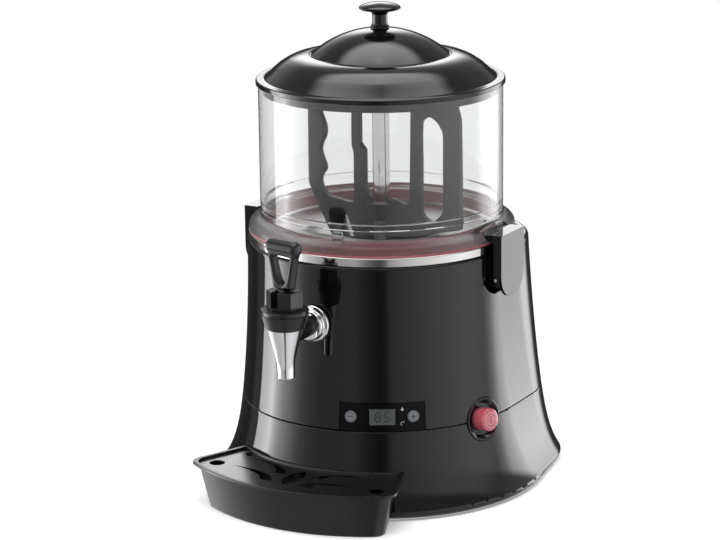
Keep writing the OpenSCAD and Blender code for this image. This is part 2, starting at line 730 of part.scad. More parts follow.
module lid() {
  color(satin_black) at_tank() difference() {
    rotate_extrude() polygon(concat(
      [[plug_r - lid_wall, lid_z - 8], [plug_r, lid_z - 8], [plug_r, lid_z], [lid_r, lid_z],
       [lid_r, lid_rise - 1], [lid_r - 1, lid_rise], [plug_r + 0.6, lid_rise]],
      [for (p = shoulder) [p.x, lid_z + p.y]],
      [[dome_r + 1.1, lid_z + 26], [dome_r + 0.2, lid_z + 26]],
      [for (i = [9:-1:1]) [dome_r * i / 9, dome_z(dome_r * i / 9, 0)]],
      [[0, dome_top], [0, dome_top - lid_wall]],
      [for (i = [1:8]) let (q = (dome_r - 5.4) * i / 8) [q, dome_z(q, lid_wall)]],
      [[dome_r - 1.6, lid_z + 26 - lid_wall]],
      [for (i = [7:-1:1]) [shoulder[i].x - 1.4, lid_z + shoulder[i].y - lid_wall - 0.4]],
      [[plug_r - lid_wall, lid_rise - 1.2]]
    ));
    translate([0, 0, lid_z]) cylinder(r = 2.6, h = 100);
  }
}

knob_z = dome_top - 0.1;
knob_top = 465;
cap_z = knob_top - 8.5;

module lid_knob() {
  color(satin_black) at_tank() difference() {
    rotate_extrude() polygon([
      [0, knob_z + 0.2], [9.6, knob_z + 0.2], [8.4, knob_z + 2], [7.3, knob_z + 4], [7.3, cap_z - 3],
      [9, cap_z - 1.2], [13, cap_z + 0.2], [knob_r - 1.4, cap_z + 1.2], [knob_r, cap_z + 2.4],
      [knob_r - 0.3, cap_z + 3.6], [knob_r - 2.7, cap_z + 5.1], [knob_r - 8, cap_z + 7.1],
      [knob_r - 14, cap_z + 8.2], [0, knob_top]
    ]);
    translate([0, 0, knob_z - 1]) cylinder(r = 2 + seat, h = 14);
  }
}

module knob_screw() {
  color(steel) at_tank() {
    translate([0, 0, dome_top - lid_wall - 2.2]) cylinder(r1 = 3.6, r2 = 4.4, h = 2);
    translate([0, 0, dome_top - lid_wall - 0.4]) cylinder(r = 2, h = 12);
  }
}

// ---- latches, drawn on the right and mirrored to the left ----
latch_pin_x = body_r + 5;
latch_low = latch_pin_z - 19.5;
hook_low = notch_z + 0.4;
hook_h = 5.5;
latch_top = hook_low + hook_h;
latch_in_x = latch_pin_x - 2.5;
cheek = 4;
lug_half = latch_w / 2 - cheek - 1;

module latch_pin_hole(r) {
  translate([latch_pin_x, 0, latch_pin_z]) rotate([90, 0, 0])
    cylinder(r = r, h = 4 * latch_w, center = true);
}

module latch() {
  tongue_r = latch_w / 2;
  color(black) at_tank() difference() {
    union() {
      difference() {
        intersection() {
          translate([latch_x - 3, -latch_w / 2, latch_low]) cube([3, latch_w, latch_top - latch_low]);
          union() {
            translate([latch_x - 5, -latch_w / 2, latch_low + tongue_r]) cube([8, latch_w, 100]);
            translate([latch_x - 5, 0, latch_low + tongue_r]) rotate([0, 90, 0])
              cylinder(r = tongue_r, h = 8);
          }
        }
        translate([latch_x - 3.2, -latch_w, latch_low - 1]) rotate([0, 6, 0])
          cube([1.5, 2 * latch_w, 12]);
      }
      for (side = [-1, 1]) intersection() {
        union() {
          translate([latch_in_x, side * (latch_w - cheek) / 2 - cheek / 2, latch_pin_z])
            cube([latch_x - 2 - latch_in_x, cheek, hook_low + 1 - latch_pin_z]);
          translate([latch_pin_x, side * (latch_w - cheek) / 2, latch_pin_z]) rotate([90, 0, 0])
            cylinder(r = latch_pin_x - latch_in_x, h = cheek, center = true);
          translate([latch_pin_x, side * (latch_w - cheek) / 2 - cheek / 2, latch_pin_z - 7])
            cube([latch_x - 2 - latch_pin_x, cheek, 8]);
        }
        translate([0, -latch_w / 2, 0]) cube([latch_x, latch_w, 400]);
      }
      translate([hook_tip_x, -latch_w / 2, hook_low]) cube([latch_x - hook_tip_x, latch_w, hook_h]);
    }
    latch_pin_hole(latch_pin_r + run);
    translate([hook_tip_x - 1, -latch_w, hook_low + hook_h]) rotate([0, 12, 0])
      translate([-1, 0, 0]) cube([9, 2 * latch_w, 6]);
  }
}

module latch_bracket() {
  color(black) at_tank() difference() {
    union() {
      translate([body_r, -lug_half, latch_pin_z - 4.8])
        cube([latch_pin_x + 1 - body_r, 2 * lug_half, 10.8]);
      translate([latch_pin_x, 0, latch_pin_z]) rotate([90, 0, 0])
        cylinder(r = 2.7, h = 2 * lug_half, center = true);
    }
    linear_extrude(body_top) polygon(outline(latch_pin_z - 4.8, -0.15));
    latch_pin_hole(latch_pin_r + seat);
  }
}

module latch_right() {
  latch();
}

module latch_left() {
  mirror([1, 0, 0]) latch();
}

module latch_bracket_right() {
  latch_bracket();
}

module latch_bracket_left() {
  mirror([1, 0, 0]) latch_bracket();
}

module latch_pins() {
  color(steel) at_tank() both_sides() translate([latch_pin_x, 0, latch_pin_z]) rotate([90, 0, 0])
    cylinder(r = latch_pin_r, h = latch_w + 0.6, center = true);
}

// ---- tap ----
bonnet_z = 204.3;
bonnet_flange_h = 4.4;
bonnet_hex_h = 17.5;
hex_r = 17;
hex_top = bonnet_z + bonnet_flange_h + bonnet_hex_h;
handle_pin_z = hex_top - 2.5;
handle_pin_r = 1.6;
plunger_r = 2.5;
seat_z = tap_z - 9;
stem_end = tap_y - 11;
cam_r = 6;

module at_valve() {
  at_tank() translate([0, -tap_y, 0]) children();
}

module at_handle() {
  at_valve() rotate([0, 0, tap_turn]) children();
}

module tap_spout() {
  color(chrome) at_valve() difference() {
    rotate_extrude() polygon([
      [spout_bore_r, spout_z], [spout_bore_r + 1.6, spout_z], [8.2, spout_z + 0.8], [8.3, 154],
      [8.8, 162], [10.6, 169], [13.2, 178.5], [16, 190.5], [16.6, 192], [18.6, 194.2],
      [20.6, 197.4], [21.6, 200.6], [21.8, bonnet_z - 0.8], [21.2, bonnet_z - 0.1],
      [13.2, bonnet_z - 0.1], [13.2, 192], [11.8, 189], [8.9, seat_z], [spout_bore_r, seat_z - 2.5]
    ]);
    translate([0, 0, tap_z]) rotate([-90, 0, 0]) cylinder(r = stem_r + seat, h = 60);
  }
}

module tap_stem() {
  color(satin_black) at_tank() difference() {
    union() {
      tap_axis(stem_r, stem_step, stem_end);
      tap_axis(stub_bore - 0.1, stub_end - 10, stem_step + 0.5);
    }
    tap_axis(6, stub_end - 34, tap_y + 6);
    translate([0, -tap_y, 0]) rotate_extrude() polygon([
      [0, 160], [8.7, 160], [8.9, seat_z], [11.9, 189], [13.3, 192], [13.3, 230], [0, 230]
    ]);
  }
}

module tap_nut() {
  color(brass) at_tank() difference() {
    translate([0, -(tap_face - wall - 4.6), tap_z]) rotate([90, 0, 0])
      cylinder(r = 15, h = 3, $fn = 6);
    tap_axis(stub_bore + seat, stub_end - 24, stem_step + 0.02);
    tap_axis(stem_r + seat, stem_step, stem_step + 22);
  }
}

module tap_rosette() {
  rear = front_r(tap_z - 18) + 0.15;
  color(chrome) at_tank() difference() {
    translate([0, 0, tap_z]) rotate([90, 0, 0]) rotate_extrude() polygon([
      [stem_r + seat, rear], [17, rear], [17.9, rear + 1], [17.9, rear + 3], [17, rear + 4.4],
      [14.6, rear + 5.2], [14, rear + 6.4], [14.6, rear + 7.4], [14.6, rear + 9.6],
      [13.6, rear + 11], [stem_r + seat, rear + 11.4]
    ]);
  }
}

module tap_bonnet() {
  slot = blade_t + 1;
  color(satin_black) at_handle() difference() {
    union() {
      translate([0, 0, bonnet_z]) cylinder(r = 22.2, h = bonnet_flange_h - 1);
      translate([0, 0, bonnet_z + bonnet_flange_h - 1]) cylinder(r1 = 22.2, r2 = 21.2, h = 1);
      translate([0, 0, bonnet_z - 7]) cylinder(r = 13.1, h = 7.5);
      rotate([0, 0, 30]) translate([0, 0, bonnet_z + bonnet_flange_h])
        cylinder(r = hex_r, h = bonnet_hex_h, $fn = 6);
    }
    translate([0, 0, bonnet_z - 20]) cylinder(r = plunger_r + 0.08, h = 60);
    translate([-slot / 2, -30, hex_top - 14.5]) cube([slot, 30 + cam_r + 1, 30]);
    translate([0, 0, handle_pin_z]) rotate([0, 90, 0])
      cylinder(r = handle_pin_r + seat, h = 80, center = true);
  }
}

// The handle's side view leaves room for a 30 degree pull.
bar_low = 262.5;
bar_high = 276;
bar_half = 18;
grip_depth = 11;

module tap_handle() {
  neck = hex_top + 0.7;
  color(satin_black) at_handle() difference() {
    union() {
      translate([0, grip_depth / 2, 0]) rotate([90, 0, 0]) linear_extrude(grip_depth) difference() {
        polygon([[-13.2, neck], [13.2, neck], [14, neck + 8], [16.6, bar_low], [bar_half, bar_low + 4],
          [bar_half, bar_high - 4], [bar_half - 4, bar_high], [-bar_half + 4, bar_high],
          [-bar_half, bar_high - 4], [-bar_half, bar_low + 4], [-16.6, bar_low], [-14, neck + 8]]);
        polygon([[-2, neck + 5.4], [2.6, neck + 5.6], [6.2, neck + 10], [8.6, neck + 19],
          [9.4, bar_low - 3], [8.4, bar_low - 1], [-8.4, bar_low - 1], [-9.4, bar_low - 3],
          [-8.8, neck + 19], [-6, neck + 10]]);
      }
      translate([0, 0, bar_low + 6.75]) rotate([0, 90, 0])
        cylinder(r = 6.75, h = 2 * bar_half, center = true);
      translate([-blade_t / 2, 0, handle_pin_z]) rotate([0, 90, 0]) cylinder(r = cam_r, h = blade_t);
      translate([-blade_t / 2, -4, handle_pin_z]) cube([blade_t, 8, 8]);
    }
    translate([0, 0, handle_pin_z]) rotate([0, 90, 0])
      cylinder(r = handle_pin_r + run, h = 80, center = true);
    both_sides() translate([blade_t / 2 + 0.05, 0, handle_pin_z + 3.1]) rotate([-32, 0, 0])
      translate([0, -30, -20]) cube([30, 30, 20]);
  }
}

module handle_pin() {
  color(steel) at_handle() translate([0, 0, handle_pin_z]) rotate([0, 90, 0])
    cylinder(r = handle_pin_r, h = 28.6, center = true);
}

plunger_top = handle_pin_z - cam_r - 4.6;

module tap_plunger() {
  color(steel) at_valve() {
    translate([0, 0, seat_z + 2]) cylinder(r = plunger_r, h = plunger_top - seat_z - 2);
    translate([0, 0, seat_z + 6.4]) cylinder(r = 7.4, h = 1.2);
  }
}

module tap_seal() {
  color(red) at_valve() difference() {
    translate([0, 0, seat_z - 0.7]) cylinder(r1 = 7.2, r2 = 8, h = 7);
    translate([0, 0, seat_z + 1.9]) cylinder(r = plunger_r + 0.04, h = 10);
  }
}

spring_low = seat_z + 7.9;
spring_high = bonnet_z - 7.3;
spring_coil_r = 5;
spring_wire_r = 0.6;
spring_turns = 5;
spring_sides = 8;

// Helical wire: rings of a round section along a rising circle.
module tap_spring() {
  per_turn = 16;
  steps = spring_turns * per_turn;
  low = spring_low + spring_wire_r;
  rise = spring_high - spring_wire_r - low;
  points = [for (i = [0:steps]) let (a = 360 * i / per_turn) for (k = [0:spring_sides - 1])
    let (b = 360 * k / spring_sides, q = spring_coil_r + spring_wire_r * cos(b))
    [q * cos(a), q * sin(a), low + rise * i / steps + spring_wire_r * sin(b)]];
  sides = [for (i = [0:steps - 1]) for (k = [0:spring_sides - 1])
    let (a = i * spring_sides + k, b = i * spring_sides + (k + 1) % spring_sides)
    each [[a, b, b + spring_sides], [a, b + spring_sides, a + spring_sides]]];
  start = [[for (k = [spring_sides - 1:-1:0]) k]];
  finish = [[for (k = [0:spring_sides - 1]) steps * spring_sides + k]];
  color(steel) at_valve() polyhedron(points, concat(sides, start, finish));
}

// ---- control panel ----
button_minus_at = 16;
button_plus_at = 41;
display_at = 28.6;
button_r = 5.5;
panel_inset = 1;
panel_t = 2.2;
button_proud = 0.5;
button_face_r = front_r(panel_mid_z) - panel_inset;
board_gap = 7;

module control_panel() {
  gap = 0.15;
  high = panel_top - slip;
  low = seam_z + slip;
  color(black) at_tank() difference() {
    rotate([0, 0, -90 + panel_from + gap]) rotate_extrude(angle = panel_to - panel_from - 2 * gap)
      polygon([
        [front_r(low) - panel_inset - panel_t, low], [front_r(low) - panel_inset, low],
        [front_r(high) - panel_inset, high], [front_r(high) - panel_inset - panel_t, high]
      ]);
    for (a = [button_minus_at, button_plus_at])
      on_wall(a, panel_mid_z, button_face_r, panel_tilt) translate([0, 0, -10])
        cylinder(r = button_r + slip, h = 20);
    on_wall(display_at, panel_mid_z, button_face_r, panel_tilt) translate([-12.5, -8, -10])
      cube([25, 16, 20]);
  }
}

module display() {
  color([0.35, 0.38, 0.36]) at_tank() on_wall(display_at, panel_mid_z, button_face_r, panel_tilt)
    translate([-12.2, -7.7, -board_gap]) cube([24.4, 15.4, board_gap - 0.9]);
}

module panel_board() {
  color(green) at_tank() difference() {
    rotate([0, 0, -90 + panel_from + 0.6]) rotate_extrude(angle = panel_to - panel_from - 1.2)
      translate([button_face_r - board_gap - 2.2, seam_z + 8]) square([1.6, panel_h - 10]);
    on_wall(display_at, panel_mid_z, button_face_r, panel_tilt) translate([-30, -30, -board_gap])
      cube([60, 60, 20]);
  }
  color(green) at_tank() for (a = [panel_from + 1, panel_to - 1]) rotate([0, 0, a])
    translate([-1, -(button_face_r - panel_t - 0.9), seam_z + 9]) cube([2, board_gap - 0.7, 12]);
}

module press_button(a) {
  color([0.72, 0.73, 0.75]) at_tank() on_wall(a, panel_mid_z, button_face_r, panel_tilt) {
    translate([0, 0, -3.4]) cylinder(r = button_r, h = 3.4 + button_proud);
    translate([0, 0, -4.4]) cylinder(r = button_r + 1, h = 1.4);
  }
}

module minus_button() {
  press_button(button_minus_at);
}

module plus_button() {
  press_button(button_plus_at);
}

// ---- power button ----
module at_power() {
  at_tank() on_wall(power_at, seam_z, power_face_r, power_tilt) children();
}

module power_bezel() {
  color(black) at_power() rotate_extrude() polygon([
    [power_r + 0.5, -9], [bezel_r, -9], [bezel_r, -0.6], [bezel_r - 1.2, 0.4], [bezel_r - 2.4, 0.4],
    [power_r + 4.6, -3.6], [power_r + 0.5, -4.2]
  ]);
}

module power_button() {
  color(red) at_power() rotate_extrude() polygon([
    [0, -13], [power_r + 2, -13], [power_r + 2, -9.4], [power_r, -9.2], [power_r, 7.6],
    [power_r - 0.9, 9], [power_r - 3, 9.8], [0, 9.8]
  ]);
}

module power_switch() {
  color(satin_black) at_power() {
    translate([-9, -9, -38]) cube([18, 18, 20]);
    translate([0, 0, -18]) cylinder(r = 4, h = 1.6);
    difference() {
      translate([0, 0, -38]) cylinder(r = bezel_r - 1, h = 28.9);
      translate([0, 0, -39]) cylinder(r = bezel_r - 3, h = 34);
    }
    for (a = [0:90:270]) rotate([0, 0, a]) translate([8.5, -1.5, -38]) cube([bezel_r - 11, 3, 4]);
  }
}

// ---- drip tray ----
arch_r = 190;
corner_round = 14;
tray_back_gap = 0.6;
grille_z = tray_h - 4;
tray_taper = 8;

module tray_shape(grow) {
  offset(r = grow) offset(r = corner_round) offset(delta = -corner_round) intersection() {
    translate([0, arch_r - tray_front]) circle(r = arch_r);
    polygon([[-tray_half_w - 21, -tray_front - 1], [tray_half_w + 21, -tray_front - 1],
      [tray_half_w - 22.5, -112], [-tray_half_w + 22.5, -112]]);
  }
}

// The housing's flare, grown by g, which the tray's back follows.
module flare_space(g) {
  rotate_extrude() polygon(concat([[0, -1], [front_r(lip_z) + g, -1]],
    [for (z = [lip_z, 12, 18, 25, 33, 42, 52, 62]) [front_r(z) + g, z]], [[0, 62]]));
}

module tray_block(grow, low, high) {
  hull() {
    translate([0, 0, low]) linear_extrude(0.01) tray_shape(grow - tray_lip - tray_taper);
    translate([0, 0, high - 0.01]) linear_extrude(0.01) tray_shape(grow - tray_lip);
  }
}

module drip_tray() {
  color(satin_black) at_tank() difference() {
    union() {
      difference() {
        tray_block(0, 0, tray_h - 1);
        flare_space(tray_back_gap);
      }
      difference() {
        translate([0, 0, tray_h - 3]) linear_extrude(3) tray_shape(0);
        flare_space(tray_back_gap);
      }
    }
    difference() {
      tray_block(-tray_wall, tray_wall, tray_h - 5);
      flare_space(tray_back_gap + tray_wall);
    }
    difference() {
      translate([0, 0, grille_z]) linear_extrude(20) tray_shape(-tray_lip);
      flare_space(tray_back_gap + tray_wall);
    }
    difference() {
      translate([0, 0, tray_h - 12]) linear_extrude(9) tray_shape(-tray_lip - tray_wall - 1.6);
      flare_space(tray_back_gap + tray_wall + 2);
    }
  }
}

// A curved slot that widens from a point to a round end.
module comma_slot(tip, reach, fall, width) {
  steps = 14;
  function centre(t) = [tip.x - reach * sin(90 * t), tip.y - fall * (1 - cos(90 * t))];
  function across(t) = let (d = centre(t + 0.01) - centre(t - 0.01)) [-d.y, d.x] / norm(d);
  polygon(concat(
    [for (i = [0:steps]) let (t = i / steps) centre(t) + across(t) * width * t / 2],
    [for (i = [steps:-1:1]) let (t = i / steps) centre(t) - across(t) * width * t / 2]));
}

module drip_grille() {
  leaf_r = 32;
  leaf_half = 7;
  color(satin_black) at_tank() difference() {
    translate([0, 0, grille_z + 0.05]) linear_extrude(grille_t) difference() {
      tray_shape(-tray_lip - slip);
      both_sides() {
        translate([87, -170]) circle(r = 6.6);
        translate([71, -133]) circle(r = 5);
        comma_slot([68, -143], 48, 25, 9);
        comma_slot([71, -169], 49, 22, 11);
      }
      intersection() {
        translate([leaf_r - leaf_half, -173]) circle(r = leaf_r);
        translate([leaf_half - leaf_r, -173]) circle(r = leaf_r);
      }
    }
    flare_space(tray_back_gap + tray_wall + slip);
  }
}

feet();
base_plate();
base_screws();
lower_skirt();
upper_housing();
rear_cover();
rear_screws();
cable_gland();
water_jacket();
chocolate_basin();
heating_element();
thermostat();
temperature_probe();
centre_column();
shaft_bushings();
drive_shaft();
stirrer();
drive_gear();
motor_pinion();
motor_shaft();
gear_motor();
motor_bracket();
motor_screws();
power_board();
board_posts();
bowl_gasket();
bowl();
lid();
lid_knob();
knob_screw();
latch_bracket_left();
latch_bracket_right();
latch_left();
latch_right();
latch_pins();
tap_rosette();
tap_stem();
tap_nut();
tap_spout();
tap_bonnet();
tap_handle();
handle_pin();
tap_plunger();
tap_seal();
tap_spring();
control_panel();
display();
panel_board();
minus_button();
plus_button();
power_bezel();
power_button();
power_switch();
drip_tray();
drip_grille();
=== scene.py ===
"""Hot chocolate dispenser: smooth shells, finishes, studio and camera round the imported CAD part.

Shapes are drawn in millimetres about the tank's axis, which stands at the centre column.
"""

import json
import math

import bmesh
import bpy
from mathutils import Matrix, Vector


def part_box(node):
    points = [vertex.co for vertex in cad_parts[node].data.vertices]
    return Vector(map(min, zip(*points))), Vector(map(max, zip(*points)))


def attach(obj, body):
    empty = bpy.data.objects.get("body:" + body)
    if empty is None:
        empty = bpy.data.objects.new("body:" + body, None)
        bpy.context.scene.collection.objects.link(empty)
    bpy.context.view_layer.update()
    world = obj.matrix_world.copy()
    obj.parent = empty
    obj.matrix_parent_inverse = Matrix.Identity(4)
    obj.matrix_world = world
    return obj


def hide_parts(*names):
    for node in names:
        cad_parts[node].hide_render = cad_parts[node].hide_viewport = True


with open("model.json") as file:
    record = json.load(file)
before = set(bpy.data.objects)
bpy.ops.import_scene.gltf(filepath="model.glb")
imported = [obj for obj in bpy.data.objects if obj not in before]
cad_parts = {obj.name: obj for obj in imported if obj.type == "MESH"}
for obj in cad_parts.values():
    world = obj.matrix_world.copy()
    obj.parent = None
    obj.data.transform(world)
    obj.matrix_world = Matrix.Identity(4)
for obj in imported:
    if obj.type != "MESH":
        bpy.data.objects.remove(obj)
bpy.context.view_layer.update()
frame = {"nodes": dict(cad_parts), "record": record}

MM = 0.001
column_low, column_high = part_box("centre_column")
TANK_Y = (column_low.y + column_high.y) / 2
TO_ROW = Matrix.Translation((0, TANK_Y, 0)) @ Matrix.Scale(MM, 4)
SLOT_OF = {p["node"]: p["material_slot"] for p in frame["record"]["subparts"]}
BODY_OF = {n: b for b, ns in frame["record"]["behaviour"]["bodies"].items() for n in ns}


def shift(x, y, z):
    return Matrix.Translation((x, y, z))


def spin(degrees, axis="Z"):
    return Matrix.Rotation(math.radians(degrees), 4, axis)


# Turns a flat drawing so that it stands up, seen from the front.
UPRIGHT = spin(90, "X")

# ---- camera

CAMERA_TURN = 29.2
CAMERA_AWAY = 2525.2
CAMERA_UP = 872.2
CAMERA_YAW, CAMERA_PITCH, CAMERA_ROLL = -0.493, 14.87, -0.690
CAMERA_LENS = 134.14
# The underside of the bowl, which its frosted foot is measured from.
BOWL_Z = 248.5


def make_camera():
    """The photograph's view: aimed by yaw, pitch and roll from a place in front and to the right."""
    place = TO_ROW @ spin(CAMERA_TURN) @ Vector((0, -CAMERA_AWAY, CAMERA_UP))
    camera = loose("camera", bpy.data.cameras.new("camera"))
    camera.matrix_world = (Matrix.Translation(place) @ spin(CAMERA_TURN - CAMERA_YAW)
                           @ spin(90 - CAMERA_PITCH, "X") @ spin(CAMERA_ROLL))
    camera.data.lens = CAMERA_LENS
    camera.data.sensor_width = 36
    camera.data.clip_end = 50
    bpy.context.scene.camera = camera


# ---- node groups


def node_group(name, inputs, outputs):
    """A shader group with named number sockets; gives the group, what goes in and what comes out."""
    group = bpy.data.node_groups.new(name, "ShaderNodeTree")
    for label, value in inputs.items():
        group.interface.new_socket(label, in_out="INPUT", socket_type="NodeSocketFloat").default_value = value
    for label in outputs:
        group.interface.new_socket(label, in_out="OUTPUT", socket_type="NodeSocketFloat")
    return group, group.nodes.new("NodeGroupInput").outputs, group.nodes.new("NodeGroupOutput").inputs


def add_node(tree, kind, wires=None, **settings):
    """Adds a node, sets its properties, and fills its inputs with values or links."""
    node = tree.nodes.new(kind)
    for name, value in settings.items():
        setattr(node, name, value)
    for name, value in (wires or {}).items():
        fill(tree, node.inputs[name], value)
    return node


def fill(tree, socket, value):
    """Links a socket to another node's output, or sets its plain value."""
    if isinstance(value, bpy.types.NodeSocket):
        tree.links.new(value, socket)
    else:
        socket.default_value = value


def maths(tree, operation, *values):
    """The result of a math node over numbers or sockets."""
    return add_node(tree, "ShaderNodeMath", dict(enumerate(values)), operation=operation).outputs[0]


def object_place(tree, stretch=(1, 1, 1)):
    place = add_node(tree, "ShaderNodeTexCoord")
    return add_node(tree, "ShaderNodeMapping", {"Vector": place.outputs["Object"], "Scale": stretch}).outputs[0]


def noise(tree, at, scale, detail):
    return add_node(tree, "ShaderNodeTexNoise", {"Vector": at, "Scale": scale, "Detail": detail}).outputs["Fac"]


def drift(tree, cloud, given):
    """The given roughness, moved up and down by the given haze."""
    return maths(tree, "MULTIPLY_ADD", maths(tree, "SUBTRACT", cloud, 0.5), given["Haze"], given["Roughness"])


def make_moulded_skin():
    """Fine grain and slow waves of a moulded plastic surface, as a height and a roughness."""
    group, given, result = node_group(
        "moulded_skin", {"Grain": 900.0, "Waves": 0.3, "Roughness": 0.35, "Haze": 0.06}, ("Height", "Roughness"))
    at = object_place(group)
    wave_size, haze_size = 14.0, 38.0
    slow = maths(group, "MULTIPLY", noise(group, at, wave_size, 1.0), given["Waves"])
    fill(group, result["Height"], maths(group, "ADD", noise(group, at, given["Grain"], 3.0), slow))
    fill(group, result["Roughness"], drift(group, noise(group, at, haze_size, 5.0), given))
    return group


def make_turned_metal():
    """Fine rings of polishing round the upright axis, as a height, a tint mask and a roughness."""
    group, given, result = node_group(
        "turned_metal", {"Lines": 1.0, "Roughness": 0.15, "Haze": 0.1}, ("Height", "Mask", "Roughness"))
    flat_rings, cloud_size = (6, 6, 1500), 45.0
    cloud = noise(group, object_place(group), cloud_size, 4.0)
    fill(group, result["Height"], noise(group, object_place(group, flat_rings), given["Lines"], 4.0))
    fill(group, result["Mask"], cloud)
    fill(group, result["Roughness"], drift(group, cloud, given))
    return group


MOULDED_SKIN = make_moulded_skin()
TURNED_METAL = make_turned_metal()


def mix_colours(tree, mask, first, second):
    """Colour between two sockets or colours, by a mask; returns the output socket."""
    mix = add_node(tree, "ShaderNodeMix", {"Factor": mask}, data_type="RGBA")
    for socket, value in zip([i for i in mix.inputs if i.type == "RGBA"], (first, second)):
        fill(tree, socket, value)
    return [o for o in mix.outputs if o.type == "RGBA"][0]


# ---- materials


def set_inputs(shader, **values):
    """Plain values on the shader's own sockets, whose names have underscores here for spaces."""
    for label, value in values.items():
        shader.inputs[label.replace("_", " ")].default_value = value


def new_material(name):
    material = bpy.data.materials.new(name)
    material.use_nodes = True
    return material, material.node_tree, material.node_tree.nodes["Principled BSDF"]


def surface(name, group, relief, depth, **levels):
    """A material whose roughness and fine relief come from a group with the given levels."""
    material, tree, shader = new_material(name)
    skin = add_node(tree, "ShaderNodeGroup", levels, node_tree=group).outputs
    fill(tree, shader.inputs["Roughness"], skin["Roughness"])
    raised = add_node(tree, "ShaderNodeBump", {"Height": skin["Height"], "Strength": relief, "Distance": depth})
    fill(tree, shader.inputs["Normal"], raised.outputs["Normal"])
    return material, tree, shader, skin


def tint_by(tree, shader, mask, first, second):
    """Base colour that drifts between two close tones with a mask."""
    fill(tree, shader.inputs["Base Color"], mix_colours(tree, mask, (*first, 1), (*second, 1)))


def plastic(name, tones, roughness, haze=0.06, grain=900.0, waves=0.3, relief=0.05, depth=0.00004, **sockets):
    """Moulded plastic or rubber; tones are two close colours that it drifts between."""
    material, tree, shader, _ = surface(name, MOULDED_SKIN, relief, depth,
                                        Grain=grain, Waves=waves, Roughness=roughness, Haze=haze)
    tint_by(tree, shader, noise(tree, object_place(tree), 22.0, 3.0), *tones)
    set_inputs(shader, **sockets)
    return material


def metal(name, tones, roughness, haze=0.08, lines=1.0, relief=0.04, depth=0.00003):
    """Polished or drawn metal; tones are two close colours that it drifts between."""
    material, tree, shader, work = surface(name, TURNED_METAL, relief, depth,
                                           Lines=lines, Roughness=roughness, Haze=haze)
    set_inputs(shader, Metallic=1.0)
    tint_by(tree, shader, work["Mask"], *tones)
    return material


def clear_plastic(name):
    """The bowl's clear plastic: a little grey in depth, and frosted at its foot."""
    material, tree, shader, skin = surface(name, MOULDED_SKIN, 0.02, 0.00005,
                                           Grain=300.0, Waves=1.0, Roughness=0.03, Haze=0.02)
    height = add_node(tree, "ShaderNodeSeparateXYZ", {0: object_place(tree)})
    frost = add_node(tree, "ShaderNodeMapRange",
                     {"Value": height.outputs["Z"], "From Min": (BOWL_Z + 8) * MM, "From Max": (BOWL_Z + 15) * MM,
                      "To Min": 0.3, "To Max": 0.0})
    fill(tree, shader.inputs["Roughness"], maths(tree, "ADD", skin["Roughness"], frost.outputs[0]))
    set_inputs(shader, Base_Color=(0.985, 0.99, 0.99, 1), Transmission_Weight=1.0, IOR=1.49, Specular_IOR_Level=0.25)
    depth = add_node(tree, "ShaderNodeVolumeAbsorption", {"Color": (0.5, 0.51, 0.51, 1), "Density": 46.0})
    fill(tree, tree.nodes["Material Output"].inputs["Volume"], depth.outputs[0])
    return material


def glowing_red(name):
    """The power cap: clear red plastic over a lit chamber."""
    material, tree, shader, _ = surface(name, MOULDED_SKIN, 0.03, 0.00005,
                                        Grain=500.0, Waves=0.5, Roughness=0.12, Haze=0.05)
    tint_by(tree, shader, noise(tree, object_place(tree), 160.0, 2.0), (0.36, 0.06, 0.08), (0.5, 0.11, 0.14))
    set_inputs(shader, Coat_Weight=0.6, Subsurface_Weight=0.2, Subsurface_Scale=0.004)
    return material


# A polished moulding: hardly any grain, and waves that bend what it mirrors.
POLISHED = {"haze": 0.03, "grain": 160.0, "waves": 2.0, "relief": 0.03, "depth": 0.00003}
# The two tones, the roughness and what else differs from the usual.
PLASTICS = {
    "gloss_black": ((0.0018, 0.0018, 0.002), (0.003, 0.003, 0.0033), 0.05, POLISHED),
    "latch_black": ((0.002, 0.002, 0.0022), (0.0032, 0.0032, 0.0035), 0.07, {"Specular_IOR_Level": 0.24, **POLISHED}),
    "panel_black": ((0.001, 0.0012, 0.0012), (0.0018, 0.002, 0.002), 0.16,
                    {"haze": 0.04, "relief": 0.03, "Specular_IOR_Level": 0.14}),
    "lid_black": ((0.0025, 0.0025, 0.0028), (0.004, 0.004, 0.0044), 0.11,
                  {"haze": 0.04, "waves": 0.8, "depth": 0.00003}),
    "grille_black": ((0.006, 0.006, 0.0066), (0.009, 0.009, 0.0099), 0.27,
                     {"haze": 0.05, "grain": 1800.0, "relief": 0.06, "Specular_IOR_Level": 0.9}),
    "satin_black": ((0.005, 0.005, 0.0055), (0.008, 0.008, 0.0088), 0.30,
                    {"haze": 0.07, "grain": 1800.0, "relief": 0.12}),
    "rubber_black": ((0.02, 0.02, 0.02), (0.035, 0.034, 0.033), 0.7, {"relief": 0.2}),
    "red_rubber": ((0.5, 0.16, 0.19), (0.58, 0.2, 0.23), 0.5, {}),
    "white_plastic": ((0.78, 0.77, 0.72), (0.85, 0.84, 0.8), 0.45, {}),
    "button_grey": ((0.13, 0.14, 0.15), (0.17, 0.18, 0.19), 0.3, {}),
    "display_grey": ((0.058, 0.066, 0.063), (0.07, 0.078, 0.075), 0.14, {}),
    "board_green": ((0.02, 0.12, 0.05), (0.03, 0.17, 0.07), 0.35, {}),
    "sign_pale": ((0.24, 0.26, 0.27), (0.3, 0.32, 0.33), 0.4, {}),
    "sign_dark": ((0.008, 0.009, 0.009), (0.012, 0.013, 0.013), 0.4, {"Specular_IOR_Level": 0.2}),
    "sign_pink": ((0.66, 0.42, 0.46), (0.74, 0.5, 0.54), 0.25, {}),
}
